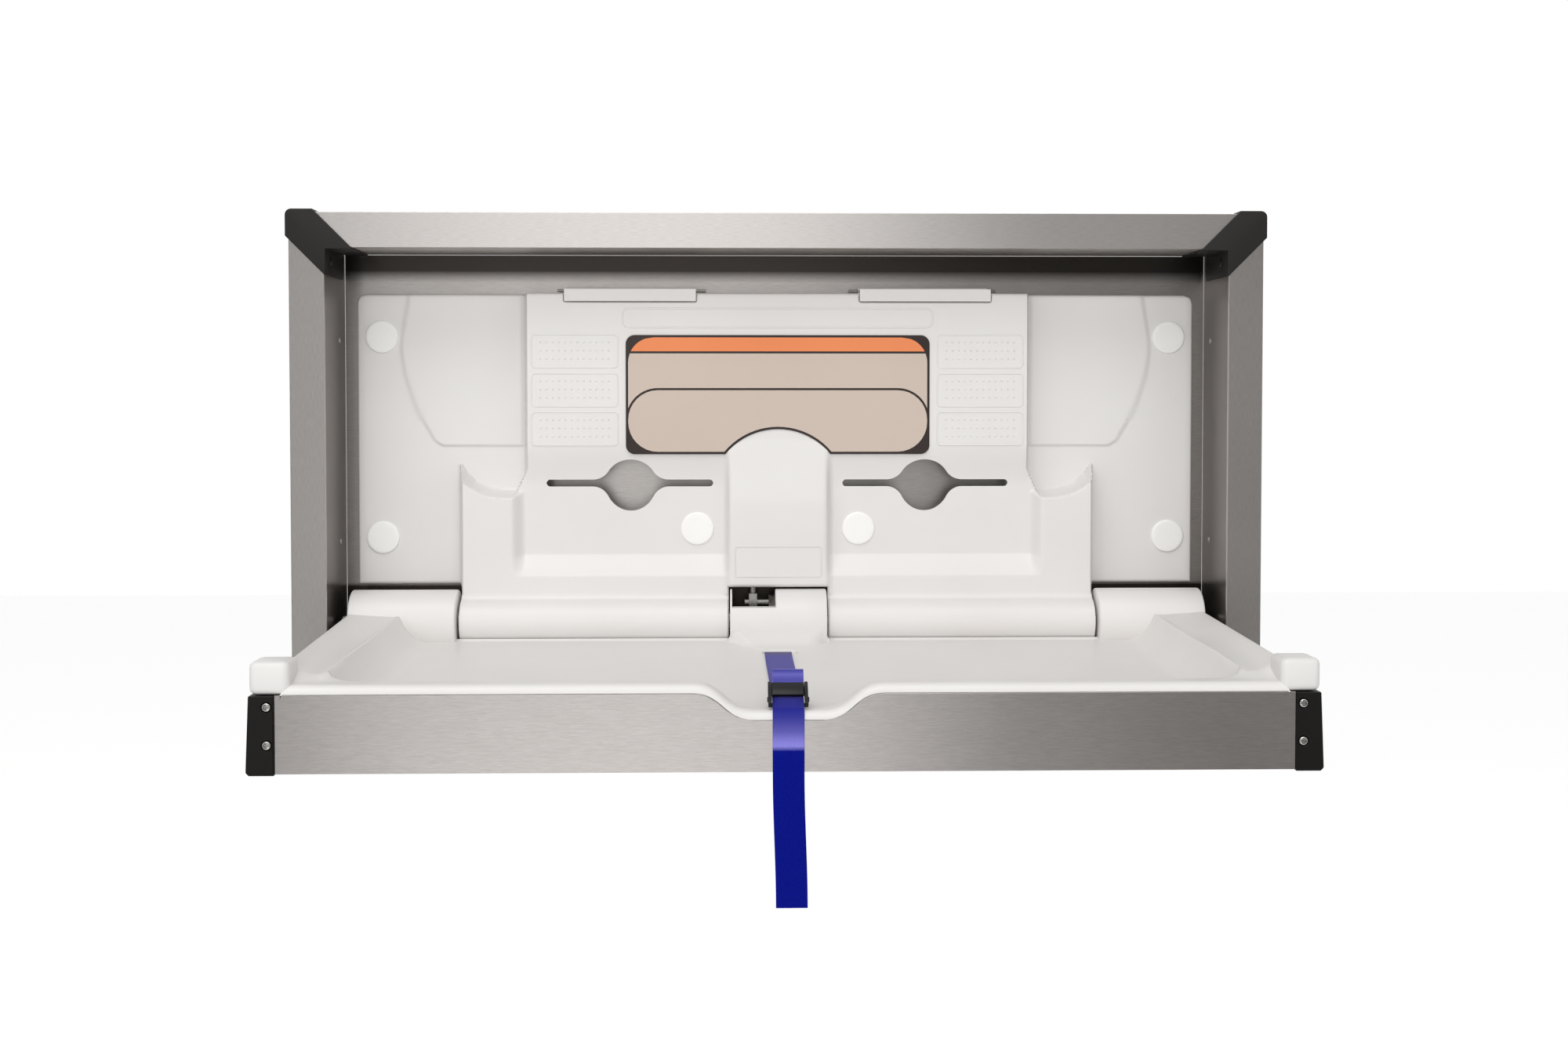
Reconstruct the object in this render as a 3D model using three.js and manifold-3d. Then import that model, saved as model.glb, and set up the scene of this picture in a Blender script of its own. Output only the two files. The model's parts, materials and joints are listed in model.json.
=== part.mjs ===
// Wall-mounted baby changing station: a steel-framed recess with a moulded liner and a fold-down tray.
// Millimetres, +X right, +Y into the wall, +Z up. The origin is the centre of the wall face.
import * as THREE from 'three';
import { mergeVertices } from 'three/addons/utils/BufferGeometryUtils.js';
import Module from 'manifold-3d';

const wasm = await Module();
wasm.setup();

// Clearances shared by every fit
const SEAT_GAP = 0.3;
const RUNNING_GAP = 1.5;
const BORE_CLEARANCE = 0.3;
const CUT_MARGIN = 5;
const ROUND_SEGMENTS = 24;
const SMALL_SEGMENTS = 12;

// Steel frame and back panel
const FRAME_WIDTH = 946;
const FRAME_HEIGHT = 508;
const FRAME_DEPTH = 100;
const FLANGE_WIDTH = 34;
const FRAME_SHEET = 1.5;
const BACK_SHEET = 1.5;
const MITRE_GAP = 0.4;

// Hinge line, measured from the bottom edge and the front face of the frame
const HINGE_RISE = 105.5;
const HINGE_SETBACK = 50;
const HINGE_ROD_RADIUS = 6;
const HINGE_ROD_OVERHANG = 5;
const RETAINER_RADIUS = 10;
const RETAINER_LENGTH = 4;
const WASHER_RADIUS = 11;

// Plastic corner caps of the frame
const CAP_SHEET = 1.2;
const CAP_FRONT = 2.5;
const CAP_TOP_RUN = 26;
const CAP_LEG = 26;
const CAP_INNER_DEPTH = 84;
const CAP_OUTER_DEPTH = 24;
const CAP_SCREW_RADIUS = 1.8;
const CAP_SCREW_HEAD_RADIUS = 3.4;
const CAP_SCREW_HEAD = 0.5;
const CAP_SCREW_LENGTH = 8;
const CAP_SCREW_DEPTH = 24;
const CAP_SCREW_DROP = 12;

// Moulded wall liner, heights above the hinge line and fronts ahead of it
const LINER_SIDE_GAP = 14;
const LINER_BOTTOM = 34;
const LINER_TOP_GAP = 40.5;
const LINER_CORNER = 9;
const LINER_DEPTH = 13.2;
const LINER_WALL = 3.5;
const SIDE_PANEL_GAP = 5;
const SIDE_PANEL_INSET = 51;
const SIDE_PANEL_BOTTOM = 174;
const SIDE_PANEL_RAISE = 2;
const SIDE_PANEL_BULGE = 29;
const SIDE_PANEL_STEPS = 4;
const BOX_INSET = 4;
const BOX_BOTTOM = 131;
const BOX_FRONT = -5;
const BOX_CORNER = 14;
const PILLAR_HALF_WIDTH = 51;
const PILLAR_TOP = 194;
const PILLAR_FRONT = 5;
const RIDGE_WIDTH = 60;
const RIDGE_TOP = 151;
const RIDGE_FRONT = 0;
const POCKET_FRONT = -12;
const POCKET_BOTTOM = 57;
const BARREL_RADIUS = 22;
const BARREL_END = 49.5;
const RAMP_ANGLE = 60;

// Paper dispenser: two compartments with slots, thumb holes and lids
const COMPARTMENT_INNER = 60;
const COMPARTMENT_INSET = 21;
const SLOT_HEIGHT = 7;
const SLOT_LEVEL = 140.5;
const THUMB_RADIUS = 28.5;
const LID_INNER = 82;
const LID_INSET = 19;
const LID_THICKNESS = 3.5;
const LID_PIN_BACK_GAP = 12.7;
const LID_OVERHANG = 2.5;
const LID_LIP = 12;
const LID_PIN_RADIUS = 1.5;
const LID_PIN_SETBACK = 3;
const LID_EAR_WIDTH = 8;
const LID_EAR_THICKNESS = 9;

// Bare notice plate on the front of the box
const PLATE_HALF_WIDTH = 150.5;
const PLATE_DROP = 42;
const PLATE_BOTTOM = 167;
const PLATE_THICKNESS = 1;
const PLATE_CORNER = 9;

// Wall screws and the plugs that cover them
const PLUG_RADIUS = 16.5;
const PLUG_CAP = 1.4;
const PLUG_STEM_RADIUS = 9;
const PLUG_STEM = 4;
const SIDE_PLUG_INSET = 25.5;
const UPPER_PLUG_DROP = 43;
const LOWER_PLUG_LEVEL = 82;
const MIDDLE_PLUG_X = 81;
const MIDDLE_PLUG_LEVEL = 92;
const WALL_SCREW_RADIUS = 3;
const WALL_SCREW_HEAD_RADIUS = 6.5;
const WALL_SCREW_HEAD = 4;

// Fold-down tray, heights above the hinge line and reach ahead of it
const TRAY_TOP_GAP = 3.5;
const TRAY_SIDE_GAP = 3.5;
const TRAY_RIM = 11.5;
const TRAY_REAR_INSET = 9.5;
const TRAY_FRONT_INSET = 25.5;
const TRAY_EAR_DEPTH = 38;
const TRAY_EAR_WIDTH = 32.5;
const TRAY_EAR_TOP = 10.5;
const TRAY_BOTTOM = -80.6;
const TRAY_WALL = 4;
const FRONT_RIM = -8.7;
const LIP_TOP = -16.6;
const SIDE_RIM_WIDTH = 52;
const BASIN_DRAFT = 22;
const FRONT_RIM_WIDTH = 23;
const BASIN_FRONT_DRAFT = 18;
const FLOOR_REAR = -17;
const FLOOR_FRONT = -37;
const KNUCKLE_RADIUS = 32;
const KNUCKLE_INSET = 2;
const KNUCKLE_WIDTH = 105.5;
const CENTRE_KNUCKLE_HALF_WIDTH = 48;
const TONGUE_REACH = 82;
const TONGUE_LEVEL = -8;
const TONGUE_TIP_HALF_WIDTH = 20;
const REAR_ARC_RADIUS = 44;
const REAR_ARC_END = -150;
const REAR_ARC_START = -78;
const REAR_WALL_ANGLE = 8;
const REAR_HOLLOW_END = -62;
const CHAMFER_REACH = 92;
const DIP_TOP_HALF_WIDTH = 78;
const DIP_BOTTOM_HALF_WIDTH = 28;
const DIP_LEVEL = -38.6;
const NOSE_CHAMFER = 4;
const SADDLE_RUN = 10;

// Steel door panel under the tray and the caps on its lip
const PANEL_SHEET = 1.2;
const PANEL_INSET = 1.5;
const LIP_CAP_WIDTH = 20.5;
const LIP_CAP_FLARE = 2.5;
const LIP_CAP_DEPTH = 36;
const LIP_CAP_WALL = 2.5;
const LIP_CAP_PROUD = 1.2;
const LIP_SCREW_INSET = 14.5;
const LIP_SCREW_LEVELS = [-26, -57];
const LIP_SCREW_RADIUS = 2;
const LIP_SCREW_HEAD_RADIUS = 4;
const LIP_SCREW_HEAD = 1.2;
const LIP_SCREW_LENGTH = 12;
const CHANNEL_INSET = 54;
const CHANNEL_WIDTH = 34;
const CHANNEL_SHEET = 2;
const CHANNEL_REAR = 140;
const CHANNEL_FRONT_GAP = 103;

// Damper in the pillar and the crank that drives it
const DAMPER_X = -25;
const CRANK_RADIUS = 25;
const CRANK_OPEN_ANGLE = 135;
const CRANK_PLATE = 6;
const CRANK_HUB_RADIUS = 11;
const CRANK_PIN_RADIUS = 3;
const EYE_THICKNESS = 8;
const EYE_WALL = 4.5;
const EYE_SIDE_CLEARANCE = 0.8;
const EYE_LIFT_CLEARANCE = 1.2;
const NOTCH_INNER = -3;
const NOTCH_LEVEL = 16;
const NOTCH_WALL = 2;
const DAMPER_ROD_RADIUS = 4;
const DAMPER_ROD_LENGTH = 88;
const CYLINDER_RADIUS = 9;
const CYLINDER_BOTTOM = 62;
const CYLINDER_LENGTH = 66;
const CYLINDER_END = 4;
const CYLINDER_BORE = 5.5;
const GLAND_LENGTH = 9;
const CLEVIS_RISE = 10;
const CLEVIS_PIN_RADIUS = 4;
const BRACKET_SHEET = 3;
const BRACKET_HEIGHT = 34;
const BRACKET_WIDTH = 40;
const BRACKET_CHEEK = 10;

// Safety strap of flat webbing, its buckle and anchor
const STRAP_WIDTH = 26;
const STRAP_THICKNESS = 1.6;
const STRAP_SLOT_REACH = 80;
const STRAP_SLOT_LENGTH = 7;
const STRAP_SLOT_WIDTH = 32;
const STRAP_FOLD_GAP = 0.95;
const STRAP_ROUTE = [
  [83.5, -35],
  [83.5, -23],
  [85.2, -20.6],
  [88.5, -20.1],
  [150, -24.2],
  [210, -28.2],
  [262, -31.6],
  [284, -31],
  [306, -26],
  [322, -20.6],
  [333, -18.6],
  [361, -28.8],
  [364.2, -31.6],
  [366, -36.2],
  [366.6, -43],
  [366.6, -81.8],
  [366.6, -191.5],
];
const STRAP_FOLD_INDEX = 15;
const STRAP_BUCKLE_INDEX = 10;
const BUCKLE_WIDTH = 32;
const BUCKLE_LENGTH = 30;
const BUCKLE_THICKNESS = 6;
const BUCKLE_BAR = 5;
const ANCHOR_WIDTH = 56;
const ANCHOR_DEPTH = 14;
const ANCHOR_THICKNESS = 3;

// Places worked out from the sizes above
const hingeY = HINGE_SETBACK - FRAME_DEPTH;
const hingeZ = HINGE_RISE - FRAME_HEIGHT / 2;
const openHalfWidth = FRAME_WIDTH / 2 - FLANGE_WIDTH;
const openHalfHeight = FRAME_HEIGHT / 2 - FLANGE_WIDTH;
const openTop = FRAME_HEIGHT - HINGE_RISE - FLANGE_WIDTH;
const panelReach = hingeY + BACK_SHEET;
const linerBack = panelReach + SEAT_GAP;
const linerFront = linerBack + LINER_DEPTH;
const linerHalfWidth = openHalfWidth - LINER_SIDE_GAP;
const linerTop = openTop - LINER_TOP_GAP;
const trayReach = openTop - TRAY_TOP_GAP;
const earHalfWidth = openHalfWidth - TRAY_SIDE_GAP;
const earInner = earHalfWidth - TRAY_EAR_WIDTH;
const earStart = trayReach - TRAY_EAR_DEPTH;
const trayRearHalfWidth = earHalfWidth - TRAY_REAR_INSET;
const trayFrontHalfWidth = earHalfWidth - TRAY_FRONT_INSET;
const basinHalfWidth = trayRearHalfWidth - SIDE_RIM_WIDTH;
const basinFront = trayReach - FRONT_RIM_WIDTH;
const knuckleOuter = trayRearHalfWidth - KNUCKLE_INSET;
const knuckleInner = knuckleOuter - KNUCKLE_WIDTH;
const ridgeHalfWidth = knuckleInner - RUNNING_GAP;
const ridgeInnerHalfWidth = ridgeHalfWidth - RIDGE_WIDTH;
const boxHalfWidth = ridgeInnerHalfWidth - BOX_INSET;
const sidePanelInner = boxHalfWidth + SIDE_PANEL_GAP;
const sidePanelOuter = linerHalfWidth - SIDE_PANEL_INSET;
const compartmentOuter = boxHalfWidth - COMPARTMENT_INSET;
const lidOuter = compartmentOuter - LID_INSET;
const thumbCentre = (LID_INNER + lidOuter) / 2;
const plateTop = linerTop - PLATE_DROP;
const sidePlugX = linerHalfWidth - SIDE_PLUG_INSET;
const upperPlugLevel = linerTop - UPPER_PLUG_DROP;
const panelHalfWidth = earHalfWidth - PANEL_INSET;
const lipCapInner = earHalfWidth - LIP_CAP_WIDTH;
const lipScrewX = earHalfWidth - LIP_SCREW_INSET;
const channelHalf = basinHalfWidth - CHANNEL_INSET;
const channelReaches = [CHANNEL_REAR, trayReach - CHANNEL_FRONT_GAP];

// Finishes
const BRUSHED_STEEL = { color: 0xb9b4ad, roughness: 0.34, metalness: 1 };
const BRIGHT_STEEL = { color: 0xc9c8c6, roughness: 0.25, metalness: 1 };
const OFF_WHITE_PLASTIC = { color: 0xdedcd9, roughness: 0.5, metalness: 0 };
const WHITE_PLASTIC = { color: 0xf4f4f2, roughness: 0.45, metalness: 0 };
const BLACK_PLASTIC = { color: 0x1d1b1a, roughness: 0.48, metalness: 0 };
const PLATE_FINISH = { color: 0xd8c6b4, roughness: 0.4, metalness: 0 };
const BLUE_WEBBING = { color: 0x1a1fa8, roughness: 0.6, metalness: 0 };
const DARK_METAL = { color: 0x2b2c2e, roughness: 0.4, metalness: 0.8 };

function radians(degrees) {
  return (degrees * Math.PI) / 180;
}

// A closed three.js geometry as a solid for cutting and joining
function solid(geometry) {
  geometry.deleteAttribute('normal');
  geometry.deleteAttribute('uv');
  const merged = mergeVertices(geometry, 1e-4);
  const vertProperties = new Float32Array(merged.attributes.position.array);
  const triVerts = new Uint32Array(merged.index.array);
  return new wasm.Manifold(new wasm.Mesh({ numProp: 3, vertProperties, triVerts }));
}

function geometryOf(body) {
  const mesh = body.getMesh();
  const geometry = new THREE.BufferGeometry();
  geometry.setAttribute('position', new THREE.BufferAttribute(mesh.vertProperties, 3));
  geometry.setIndex(new THREE.BufferAttribute(mesh.triVerts, 1));
  geometry.computeVertexNormals();
  return geometry;
}

function joined(bodies) {
  return bodies.reduce((whole, body) => whole.add(body));
}

function addPart(parent, name, body, finish) {
  const mesh = new THREE.Mesh(geometryOf(body), new THREE.MeshStandardMaterial(finish));
  mesh.name = name;
  parent.add(mesh);
}

function polygon(points) {
  return new THREE.Shape(points.map(([a, b]) => new THREE.Vector2(a, b)));
}

// A rectangle with its own radius for the two bottom and the two top corners
function roundedRectangle(left, bottom, right, top, bottomRadius, topRadius = bottomRadius) {
  const shape = new THREE.Shape();
  shape.moveTo(left + bottomRadius, bottom);
  shape.absarc(right - bottomRadius, bottom + bottomRadius, bottomRadius, -Math.PI / 2, 0);
  shape.absarc(right - topRadius, top - topRadius, topRadius, 0, Math.PI / 2);
  shape.absarc(left + topRadius, top - topRadius, topRadius, Math.PI / 2, Math.PI);
  shape.absarc(left + bottomRadius, bottom + bottomRadius, bottomRadius, Math.PI, 1.5 * Math.PI);
  return shape;
}

function extruded(shape, length) {
  return new THREE.ExtrudeGeometry(shape, { depth: length, bevelEnabled: false, curveSegments: 5 });
}

// A side profile of reach and height, drawn out from one X to another
function acrossWidth(shape, fromX, toX) {
  const geometry = extruded(shape, toX - fromX);
  geometry.applyMatrix4(new THREE.Matrix4().set(0, 0, -1, toX, -1, 0, 0, 0, 0, 1, 0, 0, 0, 0, 0, 1));
  return solid(geometry);
}

// A front outline of X and height, drawn out from one reach to another
function acrossDepth(shape, fromReach, toReach) {
  const geometry = extruded(shape, toReach - fromReach);
  geometry.rotateX(Math.PI / 2);
  geometry.translate(0, -fromReach, 0);
  return solid(geometry);
}

// A plan outline of X and reach, drawn up from one height to another
function acrossHeight(points, fromLevel, toLevel) {
  const geometry = extruded(polygon(points.map(([x, reach]) => [x, -reach])), toLevel - fromLevel);
  geometry.translate(0, 0, fromLevel);
  return solid(geometry);
}

function block(fromX, toX, fromReach, toReach, fromLevel, toLevel) {
  const geometry = new THREE.BoxGeometry(toX - fromX, toReach - fromReach, toLevel - fromLevel);
  geometry.translate((fromX + toX) / 2, -(fromReach + toReach) / 2, (fromLevel + toLevel) / 2);
  return solid(geometry);
}

function rodAcross(radius, fromX, toX, reach, level, segments = ROUND_SEGMENTS) {
  const geometry = new THREE.CylinderGeometry(radius, radius, toX - fromX, segments);
  geometry.rotateZ(Math.PI / 2);
  geometry.translate((fromX + toX) / 2, -reach, level);
  return solid(geometry);
}

function rodForward(radius, x, fromReach, toReach, level, segments = ROUND_SEGMENTS) {
  const geometry = new THREE.CylinderGeometry(radius, radius, toReach - fromReach, segments);
  geometry.translate(x, -(fromReach + toReach) / 2, level);
  return solid(geometry);
}

function rodUpright(radius, x, reach, fromLevel, toLevel, segments = ROUND_SEGMENTS) {
  const geometry = new THREE.CylinderGeometry(radius, radius, toLevel - fromLevel, segments);
  geometry.rotateX(Math.PI / 2);
  geometry.translate(x, -reach, (fromLevel + toLevel) / 2);
  return solid(geometry);
}

// A point on a circle about the hinge line, as reach and height
function aroundHinge(radius, degrees) {
  return [radius * Math.cos(radians(degrees)), radius * Math.sin(radians(degrees))];
}

function arcAroundHinge(radius, fromDegrees, toDegrees, steps) {
  const points = [];
  for (let step = 0; step <= steps; step += 1) {
    points.push(aroundHinge(radius, fromDegrees + ((toDegrees - fromDegrees) * step) / steps));
  }
  return points;
}

const station = new THREE.Group();
const hinge = new THREE.Group();
hinge.position.set(0, hingeY, hingeZ);
station.add(hinge);

// Frame: one folded channel ring, mitred into four rails

const SIDES = [
  { name: 'left', x: -1 },
  { name: 'right', x: 1 },
];
const ENDS = [
  { name: 'top', z: 1 },
  { name: 'bottom', z: -1 },
];

function frameRing(inset, fromReach, toReach) {
  const halfWidth = FRAME_WIDTH / 2 - inset;
  const halfHeight = FRAME_HEIGHT / 2 - inset;
  return block(-halfWidth, halfWidth, fromReach, toReach, -halfHeight, halfHeight);
}

function channelRing() {
  const whole = frameRing(0, 0, FRAME_DEPTH);
  const opening = frameRing(FLANGE_WIDTH, -CUT_MARGIN, FRAME_DEPTH + CUT_MARGIN);
  const hollowOuter = frameRing(FRAME_SHEET, -CUT_MARGIN, FRAME_DEPTH - FRAME_SHEET);
  const hollowInner = frameRing(FLANGE_WIDTH - FRAME_SHEET, -CUT_MARGIN, FRAME_DEPTH - FRAME_SHEET);
  return whole.subtract(opening).subtract(hollowOuter.subtract(hollowInner));
}

function capScrewPlaces() {
  return ENDS.flatMap((end) => SIDES.map((side) => ({
    name: `${end.name}_${side.name}`,
    side: side.x,
    end: end.z,
    level: end.z * (openHalfHeight - CAP_SCREW_DROP),
    reach: FRAME_DEPTH - CAP_SCREW_DEPTH,
  })));
}

function capScrewHole(place, radius) {
  const inner = openHalfWidth - CUT_MARGIN;
  const outer = openHalfWidth + CAP_SCREW_LENGTH;
  const fromX = place.side > 0 ? inner : -outer;
  return rodAcross(radius, fromX, fromX + outer - inner, place.reach, place.level, SMALL_SEGMENTS);
}

function buildFrame() {
  const holes = joined(capScrewPlaces().map((p) => capScrewHole(p, CAP_SCREW_RADIUS + BORE_CLEARANCE)));
  const ring = channelRing().subtract(holes);
  const far = FRAME_HEIGHT / 2 + CUT_MARGIN;
  const edge = FRAME_WIDTH / 2 + CUT_MARGIN;
  const core = edge - far;
  for (const end of ENDS) {
    const lift = end.z * MITRE_GAP;
    const wedge = polygon([
      [-edge, end.z * far + lift],
      [-core, lift],
      [core, lift],
      [edge, end.z * far + lift],
    ]);
    const rail = ring.intersect(acrossDepth(wedge, -CUT_MARGIN, FRAME_DEPTH + CUT_MARGIN));
    addPart(station, `frame_${end.name}_rail`, rail, BRUSHED_STEEL);
  }
  for (const side of SIDES) {
    const wedge = polygon([[side.x * edge, far], [side.x * core, 0], [side.x * edge, -far]]);
    const rail = ring.intersect(acrossDepth(wedge, -CUT_MARGIN, FRAME_DEPTH + CUT_MARGIN));
    addPart(station, `frame_${side.name}_rail`, rail, BRUSHED_STEEL);
  }
}

// Corner cap, drawn for the top right corner and mirrored to the other three
function cornerCapBody(side, end) {
  const outerX = FRAME_WIDTH / 2 + SEAT_GAP;
  const outerZ = FRAME_HEIGHT / 2 + SEAT_GAP;
  const front = FRAME_DEPTH + SEAT_GAP;
  const shellX = outerX + CAP_FRONT;
  const shellZ = outerZ + CAP_FRONT;
  const innerX = openHalfWidth - SEAT_GAP;
  const innerZ = openHalfHeight - SEAT_GAP;
  const face = [
    [shellX - CAP_TOP_RUN, shellZ],
    [shellX, shellZ],
    [shellX, shellZ - CAP_TOP_RUN],
    [innerX, innerZ - CAP_LEG],
    [innerX - CAP_SHEET, innerZ - CAP_LEG],
    [innerX - CAP_SHEET, innerZ - CAP_SHEET],
    [innerX - CAP_LEG, innerZ - CAP_SHEET],
    [innerX - CAP_LEG, innerZ],
  ];
  const outerLeg = [
    [shellX - CAP_TOP_RUN, shellZ],
    [shellX, shellZ],
    [shellX, shellZ - CAP_TOP_RUN],
    [outerX, shellZ - CAP_TOP_RUN],
    [outerX, outerZ],
    [shellX - CAP_TOP_RUN, outerZ],
  ];
  const innerLeg = [
    [innerX, innerZ],
    [innerX, innerZ - CAP_LEG],
    [innerX - CAP_SHEET, innerZ - CAP_LEG],
    [innerX - CAP_SHEET, innerZ - CAP_SHEET],
    [innerX - CAP_LEG, innerZ - CAP_SHEET],
    [innerX - CAP_LEG, innerZ],
  ];
  const placed = (points) => polygon(points.map(([x, z]) => [side * x, end * z]));
  return joined([
    acrossDepth(placed(face), front, front + CAP_FRONT),
    acrossDepth(placed(outerLeg), front - CAP_OUTER_DEPTH, front + CAP_FRONT),
    acrossDepth(placed(innerLeg), front - CAP_INNER_DEPTH, front + CAP_FRONT),
  ]);
}

function buildCornerCaps() {
  for (const place of capScrewPlaces()) {
    const cap = cornerCapBody(place.side, place.end);
    const hole = capScrewHole(place, CAP_SCREW_RADIUS + BORE_CLEARANCE);
    addPart(station, `corner_cap_${place.name}`, cap.subtract(hole), BLACK_PLASTIC);
    const seat = openHalfWidth - SEAT_GAP - CAP_SHEET - SEAT_GAP;
    const tip = openHalfWidth + CAP_SCREW_LENGTH;
    const along = (from, to, radius) => {
      const ends = place.side > 0 ? [from, to] : [-to, -from];
      return rodAcross(radius, ends[0], ends[1], place.reach, place.level, SMALL_SEGMENTS);
    };
    const shank = along(seat - CAP_SCREW_HEAD, tip, CAP_SCREW_RADIUS);
    const head = along(seat - CAP_SCREW_HEAD, seat, CAP_SCREW_HEAD_RADIUS);
    addPart(station, `corner_cap_screw_${place.name}`, shank.add(head), BRIGHT_STEEL);
  }
}

// Wall screw places, as X, height above the hinge line and the liner front there
const PLUGS = [
  { name: 'upper_left', x: -sidePlugX, level: upperPlugLevel, front: linerFront },
  { name: 'upper_right', x: sidePlugX, level: upperPlugLevel, front: linerFront },
  { name: 'lower_left', x: -sidePlugX, level: LOWER_PLUG_LEVEL, front: linerFront },
  { name: 'lower_right', x: sidePlugX, level: LOWER_PLUG_LEVEL, front: linerFront },
  { name: 'middle_left', x: -MIDDLE_PLUG_X, level: MIDDLE_PLUG_LEVEL, front: POCKET_FRONT },
  { name: 'middle_right', x: MIDDLE_PLUG_X, level: MIDDLE_PLUG_LEVEL, front: POCKET_FRONT },
];

function buildBackPanel() {
  const halfWidth = openHalfWidth - SEAT_GAP;
  const bottom = -openHalfHeight + SEAT_GAP - hingeZ;
  const top = openHalfHeight - SEAT_GAP - hingeZ;
  const sheet = block(-halfWidth, halfWidth, hingeY, panelReach, bottom, top);
  const holes = PLUGS.map((plug) => rodForward(
    WALL_SCREW_RADIUS + BORE_CLEARANCE,
    plug.x,
    hingeY - CUT_MARGIN,
    panelReach + CUT_MARGIN,
    plug.level,
    SMALL_SEGMENTS,
  ));
  addPart(hinge, 'back_panel', sheet.subtract(joined(holes)), BRUSHED_STEEL);
}

// Wall liner: one hollow moulding, open at the back, with the box, pillar, pocket and hinge barrels

const rampFoot = aroundHinge(BARREL_RADIUS, RAMP_ANGLE);
const compartmentFloor = SLOT_LEVEL - SLOT_HEIGHT / 2;

function pillarShape(growth) {
  const halfWidth = PILLAR_HALF_WIDTH + growth;
  const shape = new THREE.Shape();
  shape.moveTo(-halfWidth, LINER_BOTTOM);
  shape.lineTo(halfWidth, LINER_BOTTOM);
  shape.absarc(0, PILLAR_TOP - PILLAR_HALF_WIDTH, halfWidth, 0, Math.PI);
  return shape;
}

function sidePanelShape(side) {
  const points = [[side * sidePanelInner, SIDE_PANEL_BOTTOM]];
  for (let step = 0; step <= SIDE_PANEL_STEPS; step += 1) {
    const share = step / SIDE_PANEL_STEPS;
    const level = SIDE_PANEL_BOTTOM + (linerTop - SIDE_PANEL_BOTTOM) * share;
    points.push([side * (sidePanelOuter - SIDE_PANEL_BULGE * (1 - share) ** 2), level]);
  }
  points.push([side * sidePanelInner, linerTop]);
  return polygon(points);
}

function ridgeShape(side, inset) {
  const inner = side * (ridgeInnerHalfWidth + inset);
  const outer = side * (ridgeHalfWidth - inset);
  const horn = RIDGE_TOP - inset;
  const foot = rampFoot[1] + inset;
  return polygon([[inner, foot], [outer, foot], [outer, horn], [inner, compartmentFloor - inset]]);
}

function neckProfile() {
  return polygon([
    [linerBack, POCKET_BOTTOM],
    [POCKET_FRONT, POCKET_BOTTOM],
    rampFoot,
    [0, 0],
    [linerBack, 0],
  ]);
}

function linerOutside() {
  const deep = linerBack;
  const half = linerHalfWidth;
  const plate = roundedRectangle(-half, LINER_BOTTOM, half, linerTop, LINER_CORNER);
  const boxHalf = boxHalfWidth;
  const box = roundedRectangle(-boxHalf, BOX_BOTTOM, boxHalf, linerTop, BOX_CORNER, LINER_WALL);
  const pocket = roundedRectangle(
    -ridgeInnerHalfWidth,
    rampFoot[1],
    ridgeInnerHalfWidth,
    SLOT_LEVEL,
    LINER_WALL,
  );
  const bodies = [
    acrossDepth(plate, deep, linerFront),
    acrossDepth(box, deep, BOX_FRONT),
    acrossDepth(pillarShape(0), deep, PILLAR_FRONT),
    acrossDepth(pocket, deep, POCKET_FRONT),
  ];
  for (const side of SIDES) {
    const from = side.x > 0 ? BARREL_END : -ridgeHalfWidth;
    const to = from + ridgeHalfWidth - BARREL_END;
    bodies.push(acrossDepth(sidePanelShape(side.x), deep, linerFront + SIDE_PANEL_RAISE));
    bodies.push(acrossDepth(ridgeShape(side.x, 0), deep, RIDGE_FRONT));
    bodies.push(acrossWidth(neckProfile(), from, to));
    bodies.push(rodAcross(BARREL_RADIUS, from, to, 0, 0));
  }
  return joined(bodies);
}

function linerInside() {
  const wall = LINER_WALL;
  const deep = linerBack - CUT_MARGIN;
  const plateHalf = linerHalfWidth - wall;
  const pocketHalf = ridgeInnerHalfWidth - wall;
  const pillarHalf = PILLAR_HALF_WIDTH - wall;
  const centreHalf = COMPARTMENT_INNER - wall;
  const bodies = [
    block(-plateHalf, plateHalf, deep, linerFront - wall, LINER_BOTTOM + wall, linerTop - wall),
    block(-pocketHalf, pocketHalf, deep, POCKET_FRONT - wall, POCKET_BOTTOM + wall, compartmentFloor - wall),
    block(-pillarHalf, pillarHalf, deep, PILLAR_FRONT - wall, -CUT_MARGIN, LINER_BOTTOM + wall),
    acrossDepth(pillarShape(-wall), deep, PILLAR_FRONT - wall),
    block(-centreHalf, centreHalf, deep, BOX_FRONT - wall, PILLAR_TOP + wall, linerTop - wall),
  ];
  for (const side of SIDES) {
    const from = side.x > 0 ? COMPARTMENT_INNER : -compartmentOuter;
    const to = from + compartmentOuter - COMPARTMENT_INNER;
    bodies.push(block(from, to, deep, BOX_FRONT - wall, compartmentFloor, linerTop - wall));
    bodies.push(acrossDepth(ridgeShape(side.x, wall), deep, RIDGE_FRONT - wall));
  }
  return joined(bodies);
}

const lidFront = BOX_FRONT + LID_OVERHANG;
const lidPinReach = linerBack + LID_PIN_BACK_GAP;
const lidBarrelRadius = LID_PIN_RADIUS + BORE_CLEARANCE + LID_PIN_SETBACK / 2;
const lidBottom = linerTop + SEAT_GAP;
const lidPinLevel = lidBottom + lidBarrelRadius;

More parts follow.
